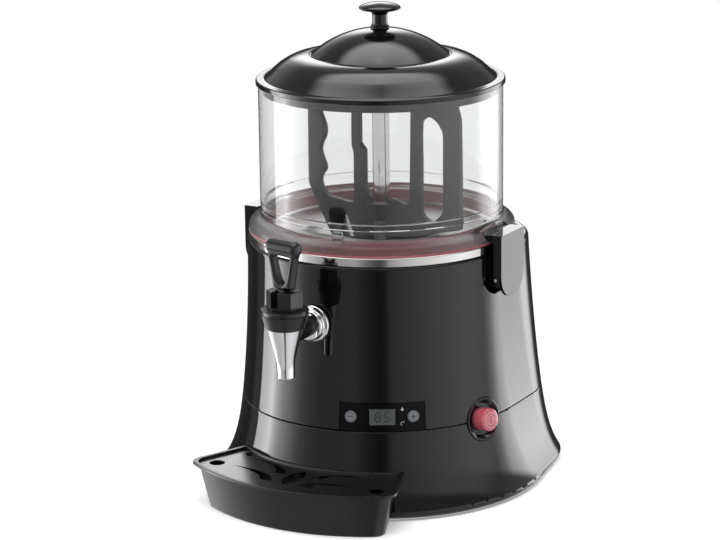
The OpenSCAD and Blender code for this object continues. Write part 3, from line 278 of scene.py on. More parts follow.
METALS = {
    "polished_steel": ((0.60, 0.59, 0.58), (0.68, 0.67, 0.66), 0.09, {}),
    "chrome": ((0.80, 0.81, 0.83), (0.86, 0.87, 0.88), 0.035, {"haze": 0.02, "relief": 0.01}),
    "brushed_steel": ((0.74, 0.73, 0.72), (0.8, 0.79, 0.78), 0.34, {"haze": 0.1, "relief": 0.06}),
    "sheet_steel": ((0.46, 0.46, 0.47), (0.56, 0.56, 0.57), 0.32, {"lines": 0.6, "relief": 0.1}),
    "screw_steel": ((0.6, 0.6, 0.61), (0.7, 0.7, 0.71), 0.22, {}),
    "brass": ((0.7, 0.5, 0.22), (0.8, 0.6, 0.3), 0.2, {}),
}
MATERIALS = {name: maker(name, (first, second), roughness, **more)
             for maker, table in ((plastic, PLASTICS), (metal, METALS))
             for name, (first, second, roughness, more) in table.items()}
MATERIALS["clear_plastic"] = clear_plastic("clear_plastic")
MATERIALS["red_plastic"] = glowing_red("red_plastic")

# ---- piece making


def evaluated(obj):
    """A new mesh of the object as its modifiers or curve settings shape it."""
    depsgraph = bpy.context.evaluated_depsgraph_get()
    return bpy.data.meshes.new_from_object(obj.evaluated_get(depsgraph), depsgraph=depsgraph)


def modify(obj, kind, *rows):
    """Adds a modifier for each row of settings, then applies them all."""
    for row in rows:
        modifier = obj.modifiers.new(kind.lower(), kind)
        for name, value in row.items():
            setattr(modifier, name, value)
    made = evaluated(obj)
    obj.modifiers.clear()
    old = obj.data
    obj.data = made
    bpy.data.meshes.remove(old)


def finish_mesh(obj, sharp):
    """Smooth shading that keeps edges sharp above an angle in degrees and leaves broad faces flat."""
    obj.data.shade_smooth()
    obj.data.set_sharp_from_angle(angle=math.radians(sharp))
    modify(obj, "WEIGHTED_NORMAL", {"mode": "FACE_AREA", "weight": 50, "keep_sharp": True})


def soften(obj, width, angle=32.0):
    """Rounds the edges sharper than an angle in degrees, by width in millimetres."""
    modify(obj, "BEVEL", {
        "width": width * MM, "segments": 2, "limit_method": "ANGLE", "angle_limit": math.radians(angle),
        "use_clamp_overlap": True, "miter_outer": "MITER_ARC"})


def cut(obj, *cutters):
    """Takes the cutter objects away from obj and removes them."""
    modify(obj, "BOOLEAN", *({"operation": "DIFFERENCE", "object": cutter, "solver": "EXACT"} for cutter in cutters))
    for cutter in cutters:
        bpy.data.objects.remove(cutter)


def merge(obj, *others):
    """Adds other objects' meshes to obj's and removes the objects."""
    bm = bmesh.new()
    for part in (obj, *others):
        bm.from_mesh(part.data)
    bm.to_mesh(obj.data)
    bm.free()
    for part in others:
        bpy.data.objects.remove(part)


def loose(name, mesh):
    """A new object in the scene that has the mesh."""
    obj = bpy.data.objects.new(name, mesh)
    bpy.context.scene.collection.objects.link(obj)
    return obj


def from_bmesh(name, bm, place=TO_ROW):
    bmesh.ops.recalc_face_normals(bm, faces=bm.faces)
    mesh = bpy.data.meshes.new(name)
    bm.to_mesh(mesh)
    bm.free()
    mesh.transform(place)
    return loose(name, mesh)


def block(low, high, place=TO_ROW):
    """A plain box between two corners, to cut with or to build into a piece."""
    bm = bmesh.new()
    bmesh.ops.create_cube(bm, size=1)
    size = Vector(high) - Vector(low)
    middle = (Vector(high) + Vector(low)) / 2
    bmesh.ops.transform(bm, matrix=Matrix.Translation(middle) @ Matrix.Diagonal((*size, 1)), verts=bm.verts)
    return from_bmesh("block", bm, place)


def settle(obj, *nodes, body=None, material=None, sharp=35.0):
    """Gives a finished piece its material, by default the one its first CAD node's slot names, and its body, and lets
    it stand for its CAD nodes.
    """
    finish_mesh(obj, sharp)
    first = nodes[0] if nodes else None
    slot_name = SLOT_OF.get(first)
    obj.data.materials.clear()
    obj.data.materials.append(MATERIALS[material or slot_name])
    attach(obj, body or BODY_OF[first])
    if nodes:
        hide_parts(*nodes)


ON_AXIS = 1e-6


def revolve(profile, steps=192, turn=Matrix.Identity(4)):
    """A turned form about Z from (radius, height) points in millimetres; points on the axis close it."""
    bm = bmesh.new()
    rings = []
    for r, z in profile:
        angles = [0] if r < ON_AXIS else [2 * math.pi * i / steps for i in range(steps)]
        rings.append([bm.verts.new(turn @ Vector((r * math.cos(a), r * math.sin(a), z))) for a in angles])
    if profile[0][0] > ON_AXIS or profile[-1][0] > ON_AXIS:
        rings.append(rings[0])
    for a, b in zip(rings, rings[1:]):
        for i in range(steps):
            j = (i + 1) % steps
            corners = list(dict.fromkeys((a[i % len(a)], a[j % len(a)], b[j % len(b)], b[i % len(b)])))
            if len(corners) > 2:
                bm.faces.new(corners)
    return bm


def turned(name, profile, steps=192, place=TO_ROW):
    """An object turned from a profile about its place's Z axis."""
    return from_bmesh(name, revolve(profile, steps), place)


def moved(points, out=0.0, up=0.0):
    """Profile points moved outwards and upwards."""
    return [(r + out, z + up) for r, z in points]


def join(first, *others):
    """Adds other bmeshes to the first."""
    for other in others:
        mesh = bpy.data.meshes.new("part")
        other.to_mesh(mesh)
        other.free()
        first.from_mesh(mesh)
        bpy.data.meshes.remove(mesh)
    return first


def loft(rings, capped=False):
    """A wall through rings of equal counts, whose last ring joins the first or has a cap at each end."""
    bm = bmesh.new()
    made = [[bm.verts.new(p) for p in ring] for ring in rings]
    if capped:
        bm.faces.new(made[0])
        bm.faces.new(made[-1])
    for a, b in zip(made, made[1:] + ([] if capped else made[:1])):
        n = len(a)
        for i in range(n):
            bm.faces.new((a[i], a[(i + 1) % n], b[(i + 1) % n], b[i]))
    return bm


def fillet(points, radius, steps=5):
    """Rounds each corner of a closed outline; radius is one value or one per point."""
    out = []
    n = len(points)
    for i, p in enumerate(points):
        r = radius[i] if isinstance(radius, (list, tuple)) else radius
        p, a, b = Vector(p), Vector(points[i - 1]), Vector(points[(i + 1) % n])
        u, v = (a - p), (b - p)
        angle = u.angle(v)
        if r <= 0 or angle > math.radians(176):
            out.append(p)
            continue
        reach = min(r / math.tan(angle / 2), 0.48 * u.length, 0.48 * v.length)
        start, end = p + u.normalized() * reach, p + v.normalized() * reach
        for k in range(steps + 1):
            t = k / steps
            out.append(start * (1 - t) ** 2 + p * 2 * t * (1 - t) + end * t ** 2)
    return [tuple(q) for q in out]


def flow(points, steps=6):
    """A smooth closed curve through the points."""
    n = len(points)
    out = []
    for i in range(n):
        p0, p1, p2, p3 = (Vector(points[(i + k - 1) % n]) for k in range(4))
        for s in range(steps):
            t = s / steps
            out.append(tuple(0.5 * (2 * p1 + (p2 - p0) * t + (2 * p0 - 5 * p1 + 4 * p2 - p3) * t * t
                                    + (3 * p1 - p0 - 3 * p2 + p3) * t ** 3)))
    return out


def cleaned(mesh, reach, flat=None):
    """Welds points closer than reach, and dissolves edges flatter than an angle in degrees."""
    bm = bmesh.new()
    bm.from_mesh(mesh)
    bmesh.ops.remove_doubles(bm, verts=bm.verts, dist=reach)
    if flat:
        bmesh.ops.dissolve_limit(bm, angle_limit=math.radians(flat), verts=bm.verts, edges=bm.edges)
    bm.to_mesh(mesh)
    bm.free()
    return mesh


def plate(name, outline, holes, thickness, edge, place):
    """A flat plate from its outline and holes, centred on its plane, with rounded edges, in millimetres."""
    curve = bpy.data.curves.new(name, "CURVE")
    curve.dimensions = "2D"
    curve.fill_mode = "BOTH"
    curve.extrude = thickness / 2 - edge
    curve.bevel_depth = edge
    curve.bevel_resolution = 2
    curve.offset = -edge
    for points in [outline, *holes]:
        if sum(a[0] * b[1] - b[0] * a[1] for a, b in zip(points, [*points[1:], points[0]])) < 0:
            points = points[::-1]
        spline = curve.splines.new("POLY")
        spline.points.add(len(points) - 1)
        for q, p in zip(spline.points, points):
            q.co = (p[0], p[1], 0, 1)
        spline.use_cyclic_u = True
    obj = loose(name, curve)
    mesh = evaluated(obj)
    bpy.data.objects.remove(obj)
    bpy.data.curves.remove(curve)
    mesh.transform(place)
    return loose(name, cleaned(mesh, 1e-6))


def softened(node, width, material=None):
    """A CAD node's form with rounded edges, which then stands for the node."""
    obj = loose(f"{node}_shell", cleaned(frame["nodes"][node].data.copy(), 2e-6, 0.4))
    soften(obj, width)
    settle(obj, node, material=material)


def own_material(node):
    """A CAD node that stays: its own material, smooth where it is round."""
    obj = frame["nodes"][node]
    obj.data.materials.clear()
    obj.data.materials.append(MATERIALS[SLOT_OF[node]])
    obj.data.shade_smooth()
    obj.data.set_sharp_from_angle(angle=math.radians(30))


# ---- housing

BODY_R, BODY_TOP, SEAM, WALL = 130.4, 238.0, 81.0, 2.5
LIP_R, SKIRT_Z, SEAM_HALF = 6.5, 1.0, 0.3
DECK_T, DECK_HOLE_R, STEM_HOLE_R = 3.0, 125.4, 9.8
PANEL_FROM, PANEL_TO, PANEL_TOP = 11.3, 45.9, 109.0
POWER_AT, BEZEL_R = 72.5, 21.2
TAP_Z, TAP_Y = 181.5, 184.0
# Turns a form's axis to the front, at the height of the tap's pipe.
FORWARD = shift(0, 0, TAP_Z) @ UPRIGHT


def drop(z):
    return (BODY_TOP - z) / BODY_TOP


def swell(z):
    return 18 * drop(z) ** 2 + 19 * drop(z) ** 10


def front_r(z):
    return BODY_R + swell(z)


def rear_corner(z):
    share = 0.44 * swell(z) / swell(SKIRT_Z + LIP_R) + 0.56 * drop(z)
    return 27.5 + 32.3 * share, 27.3 + 47.2 * share, 105 - 15.9 * drop(z)


def spaced(a, b, steps):
    return [a + (b - a) * i / steps for i in range(steps + 1)]


def arc(x, y, radius, a, b, steps):
    """Points round a centre, from angle a to angle b."""
    return [(x + radius * math.cos(t), y + radius * math.sin(t)) for t in spaced(a, b, steps)]


def rings_at(outline, *heights):
    return [[(x, y, z) for x, y in outline] for z in heights]


def housing_outline(z, inset, front=160, corner=40):
    cx, cy, r = rear_corner(z)
    f = front_r(z)
    side = math.atan2(cy, cx) - math.acos((f - r) / math.hypot(cx, cy))
    return (arc(0, 0, f - inset, math.pi - side, 2 * math.pi + side, front)
            + arc(cx, cy, r - inset, side, math.pi / 2, corner)
            + arc(-cx, cy, r - inset, math.pi / 2, math.pi - side, corner)[1:])


def housing_ring(z, inset, shape_z=None):
    """The housing's outline at a height, or the outline of another height brought to it."""
    return rings_at(housing_outline(z if shape_z is None else shape_z, inset), z)[0]


def wall_place(turn, z, radius, tilt):
    """Frame on the housing wall: x to the right, y up, z out of the wall."""
    return TO_ROW @ spin(turn) @ shift(0, -radius, z) @ spin(90 - tilt, "X")


POWER_TILT = math.degrees(math.atan((front_r(SEAM - BEZEL_R) - front_r(SEAM + BEZEL_R)) / (2 * BEZEL_R)))
PANEL_TILT = math.degrees(math.atan((front_r(SEAM) - front_r(PANEL_TOP)) / (PANEL_TOP - SEAM)))
PANEL_MID = (SEAM + PANEL_TOP) / 2
POWER_PLACE = wall_place(POWER_AT, SEAM, front_r(SEAM), POWER_TILT)


def bezel_cutter():
    reach = BEZEL_R + 0.3
    return turned("bezel_cut", [(0, -25), (reach, -25), (reach, 40), (0, 40)], 96, POWER_PLACE)


def panel_cutter(grow, low, high):
    """A block round the control panel's place, wider by grow degrees at each side."""
    start, end = math.radians(PANEL_FROM - grow - 90), math.radians(PANEL_TO + grow - 90)
    loop = arc(0, 0, front_r(SEAM) - 25, start, end, 40) + arc(0, 0, front_r(SEAM) + 30, end, start, 40)
    return from_bmesh("panel_cut", loft(rings_at(loop, low, high), capped=True))


def cover_cutter():
    """A leaning block round the rear cover's place."""
    low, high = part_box("rear_cover")
    wide, tall = high.x - low.x + 0.6 * MM, (high.z - low.z) * 1.003 + 0.6 * MM
    lean = math.atan2(high.y - low.y - 1.6 * MM, high.z - low.z)
    return block((-wide / 2, -MM, -tall / 2), (wide / 2, 21 * MM, tall / 2),
                 Matrix.Translation((low + high) / 2) @ Matrix.Rotation(lean, 4, "X"))


def finish_shell(shell, node, *cutters):
    """Cuts a housing shell and gives it the smooth normals of the uncut one, so that its gloss has no ripples."""
    whole = loose("uncut", shell.data.copy())
    cut(shell, *cutters)
    settle(shell, node, sharp=30)
    finish_mesh(whole, 30)
    modify(shell, "DATA_TRANSFER", {
        "object": whole, "use_loop_data": True, "data_types_loops": {"CUSTOM_NORMAL"},
        "loop_mapping": "POLYINTERP_NEAREST"})
    mesh = whole.data
    bpy.data.objects.remove(whole)
    bpy.data.meshes.remove(mesh)


def make_upper_housing():
    round_r = 4.0
    crown = BODY_TOP - round_r
    edge = SEAM + SEAM_HALF
    outer = [housing_ring(edge, 0.8), housing_ring(edge + 0.25, 0.25), housing_ring(edge + 0.9, 0)]
    outer += [housing_ring(z, 0) for z in spaced(84, crown - 3, 34)]
    rounding = [housing_ring(crown + round_r * math.sin(t), round_r * (1 - math.cos(t)), crown)
                for t in spaced(0, math.pi / 2, 8)]
    ways = [math.atan2(y, x) for x, y in housing_outline(BODY_TOP, 0)]
    under = BODY_TOP - DECK_T
    deck = [[(DECK_HOLE_R * math.cos(a), DECK_HOLE_R * math.sin(a), z) for a in ways] for z in (BODY_TOP, under)]
    inner = [housing_ring(z, WALL) for z in spaced(crown - 6, edge, 12)]
    shell = from_bmesh("upper_housing_shell",
                       loft(outer + rounding + deck + [housing_ring(under, 3, BODY_TOP)] + inner))
    stem = turned("stem_cut", [(0, 0), (STEM_HOLE_R, 0), (STEM_HOLE_R, 50), (0, 50)], 64,
                  TO_ROW @ shift(0, -100, TAP_Z) @ UPRIGHT)
    finish_shell(shell, "upper_housing", panel_cutter(0, SEAM - 5, PANEL_TOP), bezel_cutter(), stem, cover_cutter())


def make_lower_skirt():
    lip_z = SKIRT_Z + LIP_R
    lip = [housing_ring(lip_z - LIP_R * math.sin(t), LIP_R * (1 - math.cos(t)), lip_z)
           for t in spaced(math.pi / 2, 0, 8)]
    edge = SEAM - SEAM_HALF
    outer = [housing_ring(z, 0) for z in spaced(9.5, edge - 0.9, 28)]
    # the tongue that stands up inside the upper housing
    step = [housing_ring(edge + up, inset) for up, inset in (
        (-0.25, 0.25), (0, 0.8), (0, 2.9), (6, 2.9), (6, 5.2), (-4, 5.2), (-7, WALL))]
    inner = [housing_ring(z, WALL) for z in spaced(62, 26, 8)]
    foot = [housing_ring(z, LIP_R + WALL, lip_z) for z in (18, SKIRT_Z)]
    shell = from_bmesh("lower_skirt_shell", loft(lip + outer + step + inner + foot))
    finish_shell(shell, "lower_skirt", panel_cutter(1, SEAM + 0.1, PANEL_TOP), bezel_cutter())


# ---- tank, bowl and lid

JACKET_R, RIM_TOP = 122.0, 246.0
FLANGE_Z = RIM_TOP - 1.2
GASKET_Z = FLANGE_Z + 1
BOWL_R, BOWL_IN, BOWL_TOP, BOWL_FOOT = 117.3, 114.3, 388.0, 128.6
COLUMN_R, COLUMN_HOLE_R = 8.3, 8.4


def make_tank():
    rim, lip = BODY_R - 1, 112
    jacket = [
        (COLUMN_HOLE_R, 149), (116, 149), (119.5, 150.6), (121.4, 152.6), (JACKET_R, 155), (JACKET_R, 238.3),
        (rim, 238.3), *moved([(0, -1.2), (-0.25, -0.5), (-0.8, 0), (-1, 0)], rim, RIM_TOP), (rim - 1, 239.3),
        (JACKET_R, 239.3), (JACKET_R, FLANGE_Z), (121, FLANGE_Z), (121, 155.4), (115.6, 150), (COLUMN_HOLE_R, 150)]
    settle(turned("water_jacket_bowl", jacket), "water_jacket", sharp=50)
    basin = revolve([
        (COLUMN_HOLE_R, 172), (37, 172), (40.5, 173.4), (43, 178), (78.5, 236.2), (80.6, 238), (84, 239),
        (109, 242.9), (110.9, 243.7), (lip, FLANGE_Z + 1), (rim - 1.3, FLANGE_Z + 1), (rim - 1.3, FLANGE_Z),
        (lip + 0.9, FLANGE_Z), (lip, FLANGE_Z - 2.3), (84, 238), (80.8, 236.9), (44.2, 177.5), (37.5, 171),
        (COLUMN_HOLE_R, 171)])
    pipe = revolve([(8.2, 48), (10.5, 48), (10.5, 124), (8.2, 124)], 48, FORWARD)
    settle(from_bmesh("basin_bowl", join(basin, pipe)), "chocolate_basin",
           material="brushed_steel", sharp=50)
    gasket = [(BOWL_IN - 3.1, GASKET_Z), *moved([(-2.4, 0), (-2.4, 2.1), (-2.8, 2.5)], rim, GASKET_Z)]
    gasket += moved([(-0.4, 2.5), (-0.4, 9), (-0.7, 9.8), (-1.4, 10.4), (-2.4, 10.4), (-3.1, 9.7)],
                    BOWL_IN, GASKET_Z)
    settle(turned("bowl_gasket_ring", gasket), "bowl_gasket", sharp=50)


def make_bowl():
    profile = [(BOWL_IN, BOWL_Z)]
    profile += moved([(-0.4, 0), (0, 0.4), (0, 3), (-0.35, 4.5), (-1, 5.6), (-1.9, 6.7), (-3.1, 7.6), (-4.5, 8.5),
                      (-6, 9.5)], BOWL_FOOT, BOWL_Z)
    profile += moved([(3.6, 10.6), (2.3, 12), (1.3, 13.1), (0.6, 14.2), (0.15, 15.4), (0, 16.5)], BOWL_R, BOWL_Z)
    profile += moved([(0, -0.8), (-0.25, -0.25), (-0.8, 0)], BOWL_R, BOWL_TOP)
    profile += moved([(0.8, 0), (0.25, -0.25), (0, -0.8)], BOWL_IN, BOWL_TOP)
    profile += moved([(0, 275.5), (-0.5, 274.6), (-1.5, 274.2), (-2, 273.6), (-2, 269), (-1.6, 268.4), (0, 268)],
                     BOWL_IN)
    bowl = turned("clear_bowl", profile, 256)
    # flats in the foot ring, where the side latches reach over it
    near, far, half, low, high = 118.8, 138.8, 25.2, BOWL_Z + 2, BOWL_Z + 32
    cut(bowl, block((near, -half, low), (far, half, high)), block((-far, -half, low), (-near, half, high)))
    settle(bowl, "bowl", sharp=28)
    # the small horseshoe boss at the front, turned a little to the right of the tap
    boss = plate("bowl_boss", fillet([(-5.5, -6), (5.5, -6), (5.5, 5), (-5.5, 5)], [4.5, 4.5, 2, 2]), [], 3.0, 0.7,
                 TO_ROW @ spin(9) @ shift(0, -BOWL_R - 2.2, BOWL_Z + 15) @ UPRIGHT)
    settle(boss, body=BODY_OF["bowl"], material="clear_plastic")


LID_Z = BOWL_TOP + 0.3
DOME_R, DOME_TOP, DOME_CURVE = 66.2, LID_Z + 51.9, 100.8
SHOULDER = [(111.5, 5.2), (108.2, 8.0), (104, 11.7), (100, 15.4), (97.3, 17.4), (94.5, 19.2), (91.4, 21.2),
            (88, 22.9), (84.6, 24.3), (81, 25.2), (77.5, 26.1), (74, 26.6), (71, 26.95), (68.3, 27.1)]
KNOB_CAP_Z = 456.5


def dome_z(x, thin=0.0):
    return DOME_TOP - DOME_CURVE + math.sqrt((DOME_CURVE - thin) ** 2 - x * x)


def make_lid():
    plug, wall = BOWL_IN - 1.3, 2.6
    rim = [(plug - wall, -8), (plug - 0.5, -8), (plug, -7.5), (plug, 0), (119.0, 0), (119.5, 0.5), (119.5, 3.4),
           (119.1, 4.4), (118.3, 5), (115, 5.1), (113.6, 4.9)]
    groove = [(67.9, 26.7), (67.5, 26.1), (66.7, 26), (66.35, 26.3)]
    dome = [(x, dome_z(x)) for x in (DOME_R * i / 20 for i in range(20, 0, -1))] + [(0, DOME_TOP)]
    under = [(0, DOME_TOP - wall)] + [(x, dome_z(x, wall)) for x in (7.6 * i for i in range(1, 9))]
    under += [(64.6, LID_Z + 26 - wall)] + moved(SHOULDER[:0:-1], -1.4, LID_Z - wall - 0.4)
    lid = moved(rim + SHOULDER + groove, up=LID_Z) + dome + under + [(plug - wall, LID_Z + 3.8)]
    settle(turned("lid_shell", lid, 224), "lid", material="lid_black", sharp=28)
    neck = [(0, 0), (9.4, 0), (9.2, 0.8), (8.2, 2.2), (7.5, 3.6), (7.25, 5.5)]
    cap = [(7.25, -4), (7.6, -2.6), (8.6, -1.4), (10.8, -0.5), (14, 0.3), (17, 0.9), (18.8, 1.4), (19.7, 2.1),
           (20, 2.9), (19.6, 3.9), (18.6, 4.6), (17, 5.3), (14, 6.4), (10, 7.4), (5, 8.2), (0, 8.4)]
    settle(turned("knob_cap", moved(neck, up=DOME_TOP + 0.1) + moved(cap, up=KNOB_CAP_Z), 96), "lid_knob",
           material="lid_black", sharp=40)


# ---- stirrer

PADDLE_TURN = -10.8
HUB_IN, HUB_R = 8.9, 14.0


def make_stirrer():
    outline = fillet([
        (-84, 378), (-92, 370), (-92.4, 276.4), (-69.4, 239), (-40, 191), (-30, 184), (30, 184), (40, 191), (67, 238),
        (74, 247), (97.6, 250), (97.6, 300), (96.7, 362), (92, 378)],
        [6, 6, 14, 30, 6, 6, 6, 6, 10, 10, 3, 0, 4, 5])
    grip = flow([
        (-78, 363), (-78, 356), (-75, 347), (-70.4, 337), (-70.2, 327), (-75, 318), (-76.4, 311), (-74, 304),
        (-70.8, 297), (-70.9, 292), (-76, 285), (-76.5, 279), (-73, 271.5), (-65, 267), (-50, 265.6), (-38, 265),
        (-33.4, 269), (-33.2, 291), (-33.2, 314.6), (-35.5, 322), (-35.5, 344), (-35.5, 363), (-38.5, 366),
        (-57, 366.6), (-75, 366)], 4)
    centre = fillet([
        (-25.4, 366), (-25.4, 324.5), (-19.1, 319.4), (-19.1, 284), (-16, 276), (-9, 273), (9, 270), (13, 276),
        (20, 275), (32, 272), (36.7, 276), (38.7, 366)], [3, 6, 5, 6, 5, 4, 3, 4, 6, 4, 4, 3])
    slot = flow([
        (50.6, 276), (51.5, 267), (56, 262), (63.6, 259.2), (71, 264.5), (76, 270), (77.5, 278), (77.5, 311),
        (77.5, 344), (75.5, 351), (70, 357.5), (61.8, 361), (54, 357.5), (50.6, 350), (50.6, 313)], 4)
    vent = flow([(-48, 246), (-46, 250.5), (-42, 250), (-37, 240), (-33, 226), (-37, 222), (-41, 226)], 3)
    blade = plate("stirrer_paddle", outline, [grip, centre, slot, vent], 6.0, 0.9,
                  TO_ROW @ spin(PADDLE_TURN) @ UPRIGHT)
    cut(blade, turned("bore", [(0, 150), (HUB_IN, 150), (HUB_IN, 300), (0, 300)], 64))
    hub = [(HUB_IN, 0), (HUB_R - 0.6, 0), (HUB_R, 0.6), (HUB_R, 15.4), (HUB_R - 0.6, 16), (HUB_IN, 16)]
    top = [(HUB_IN, 366), (13.2, 366), (HUB_R, 366.8), (HUB_R, 390.6), (12.6, 392), (0, 392), (0, 387.6),
           (5.1, 387.6), (5.1, 375), (HUB_IN, 375)]
    merge(blade, from_bmesh("hub", join(*(revolve(p, 96) for p in (moved(hub, up=184), moved(hub, up=254), top)))))
    settle(blade, "stirrer", sharp=30)
    column = [(6.5, 146), (COLUMN_R, 146), (COLUMN_R, 373.4), (COLUMN_R - 0.5, 374), (6.5, 374)]
    settle(turned("centre_tube", column, 96), "centre_column", sharp=40)


# ---- tap

TAP_TURN = -9
BONNET_Z, BONNET_T, HEX_R, HEX_H = 204.3, 4.4, 17.0, 17.5
HEX_TOP = BONNET_Z + BONNET_T + HEX_H
VALVE_PLACE = TO_ROW @ shift(0, -TAP_Y, 0)
HANDLE_PLACE = VALVE_PLACE @ spin(TAP_TURN)


def make_tap():
    cup = [(17, 192.4), (18.3, 196), (19.6, 200), (20.6, 203.4)]
    spout = [
        (6.2, 142.5), (7.4, 142.5), (8.1, 142.9), (8.3, 143.8), (8.3, 150), (8.45, 153.5), (8.8, 157.5), (9.4, 161.5),
        (10.2, 165.5), (11.2, 169.5), (12.4, 173.8), (13.7, 178.6), (15, 183.6), (16.1, 188), (16.7, 190.4),
        *cup, (20.4, 204.1),
        (13.2, 204.1), (13.2, 192), (11.8, 189), (8.9, 172.5), (6.2, 170)]
    settle(turned("spout_body", spout, 128, VALVE_PLACE), "tap_spout", sharp=40)
    # A satin black ring over the flare at the top of the chrome spout. It is painted shade for the dark band that the
    # chrome shows there, drawn as a collar.
    dark_band = [
        (16.6, 190.2), (17.5, 190.2), (18.1, 190.6), (19.3, 194.6), (20.5, 198.6), (21.6, 202.6), (21.9, 203.7),
        (21.6, 204.2), (20.6, 204.2), *cup[::-1]]
    settle(turned("spout_dark_band", dark_band, 128, VALVE_PLACE), body=BODY_OF["tap_spout"],
           material="satin_black")
    rosette = moved([
        (9.53, 0), (17, 0), (17.7, 0.5), (17.9, 1.2), (17.9, 2.8), (17.6, 3.8), (16.8, 4.5), (15.4, 4.9), (14.5, 5.4),
        (14.1, 6.2), (14.1, 6.8), (14.6, 7.5), (14.7, 8.6), (14.5, 9.8), (13.8, 10.8), (12.8, 11.3), (9.53, 11.4)],
        up=front_r(TAP_Z - 18) + 0.15)
    settle(from_bmesh("tap_rosette_disc", revolve(rosette, 96, FORWARD)), "tap_rosette", sharp=50)
    stem = from_bmesh("tap_stem_pipe", revolve(
        [(6, 114), (8.1, 114), (8.1, 128.5), (9.5, 128.5), (9.5, 172.6), (9.1, 173), (6, 173)], 64, FORWARD))
    cut(stem, turned("valve_cut", [
        (0, 160), (8.7, 160), (8.9, 172.5), (11.9, 189), (13.3, 192), (13.3, 230), (0, 230)], 64, VALVE_PLACE))
    settle(stem, "tap_stem", sharp=40)


def make_bonnet():
    skirt_z, skirt_r, bore = 197.3, 13.1, 2.58
    disc = [(21.6, 0), (22.2, 0.6), (22.2, 3.4), (21.9, 4), (21.2, BONNET_T), (bore, BONNET_T)]
    bonnet = turned("tap_bonnet_cap", [
        (skirt_r, skirt_z), (skirt_r, BONNET_Z), *moved(disc, up=BONNET_Z), (bore, skirt_z)], 128, HANDLE_PLACE)
    hexagon = arc(0, 0, HEX_R, math.pi / 6, math.pi * 13 / 6, 6)[:-1]
    sunk, gap = 0.4, 4.0
    nut = plate("hex", hexagon, [], HEX_H + sunk, 0.9, HANDLE_PLACE @ shift(0, 0, HEX_TOP - (HEX_H + sunk) / 2))
    cut(nut, block((-gap, -30, HEX_TOP - 14.5), (gap, 7, HEX_TOP + 9), HANDLE_PLACE),
        turned("guide", [(0, 200), (bore, 200), (bore, 240), (0, 240)], 32, HANDLE_PLACE))
    merge(bonnet, nut)
    settle(bonnet, "tap_bonnet", sharp=32)


def make_handle():
    neck, low, high, half, deep = HEX_TOP + 0.7, 259.0, 273.0, 18.0, 10.5
    right = [(10.2, neck), (11, neck + 7), (13, neck + 20), (15.2, low - 1), (half - 1, low + 4),
             (half - 1, high - 3)]
    outer = fillet([(-10.2, neck), *right, *((-x, y) for x, y in right[:0:-1])],
                   [3, 3, 8, 20, 4, 3, 3, 3, 3, 4, 20, 8])
    loop = flow([
        (-1.6, neck + 5), (2, neck + 5), (5, neck + 9.4), (7.8, neck + 18), (9.7, low - 4), (9, low - 0.8),
        (-9, low - 0.8), (-9.7, low - 4), (-7.8, neck + 18), (-5, neck + 9.4)], 4)
    grip = plate("tap_handle_grip", outer, [loop], deep, 2.2, HANDLE_PLACE @ UPRIGHT)
    pin = HEX_TOP - 2.5
    slope = HANDLE_PLACE @ shift(0, 0, pin + 3.1) @ spin(-32, "X")
    cut(grip, block((3.55, -30, -20), (33, 0, 0), slope), block((-33, -30, -20), (-3.55, 0, 0), slope))
    end = [(0, 0), (3.4, 0), (5.4, 0.8), (6.6, 2.4), (7, 4.6)]
    bar = revolve(moved(end, up=-half) + [(r, half - up) for r, up in end[::-1]], 64,
                  shift(0, 0, low + 7) @ spin(90, "Y"))
    blade = revolve([(1.66, -3.5), (5.6, -3.5), (6, -3.1), (6, 3.1), (5.6, 3.5), (1.66, 3.5)], 64,
                    shift(0, 0, pin) @ spin(90, "Y"))
    merge(grip, from_bmesh("rest", join(bar, blade), HANDLE_PLACE),
          block((-3.5, -4, pin + 1.7), (3.5, 4, pin + 8), HANDLE_PLACE))
    settle(grip, "tap_handle", sharp=34)


# ---- controls


def make_power_button():
    edge = [(0, -9), (0, -0.9), (-0.2, -0.2), (-0.7, 0.25), (-1.3, 0.4), (-2, 0.3), (-2.6, -0.1)]
    bezel = [(11.5, -9), *moved(edge, BEZEL_R), (17.4, -1.6), (15.9, -3.2), (15.2, -3.9), (11.5, -4.2)]
    settle(turned("power_bezel_ring", bezel, 128, POWER_PLACE), "power_bezel", sharp=40)
    cap = [(0, -13), (13, -13), (13, -9.4), (11, -9.2), (11, 7.2), (10.8, 8.1), (10.2, 8.8), (9.2, 9.3), (7.9, 9.6),
           (7.5, 9.35), (7.1, 9.35), (6.7, 9.7), (4.9, 9.75), (4.5, 9.4), (4.1, 9.4), (3.7, 9.75), (0, 9.8)]
    settle(turned("power_cap", cap, 96, POWER_PLACE), "power_button", sharp=50)
    rings = join(*(revolve([(r, z), (r + 0.4, z), (r + 0.4, z + 0.25), (r, z + 0.25)], 96)
                   for r, z in ((7.1, 9.3), (4.1, 9.35))))
    settle(from_bmesh("power_cap_rings", rings, POWER_PLACE), body="power", material="sign_pink")


# The bars of a digit: where each stands, in half widths and half heights, and whether it lies flat.
SEGMENTS = {"a": (0, 1, 1), "b": (1, 0.5, 0), "c": (1, -0.5, 0), "d": (0, -1, 1), "e": (-1, -0.5, 0),
            "f": (-1, 0.5, 0), "g": (0, 0, 1)}
DIGITS = ("abcdefg", "acdfg")
SIGN_T, SIGN_EDGE = 0.16, 0.03


def merged(name, parts, body, material):
    """One piece from several loose ones."""
    obj = loose(name, bpy.data.meshes.new(name))
    merge(obj, *parts)
    settle(obj, body=body, material=material)


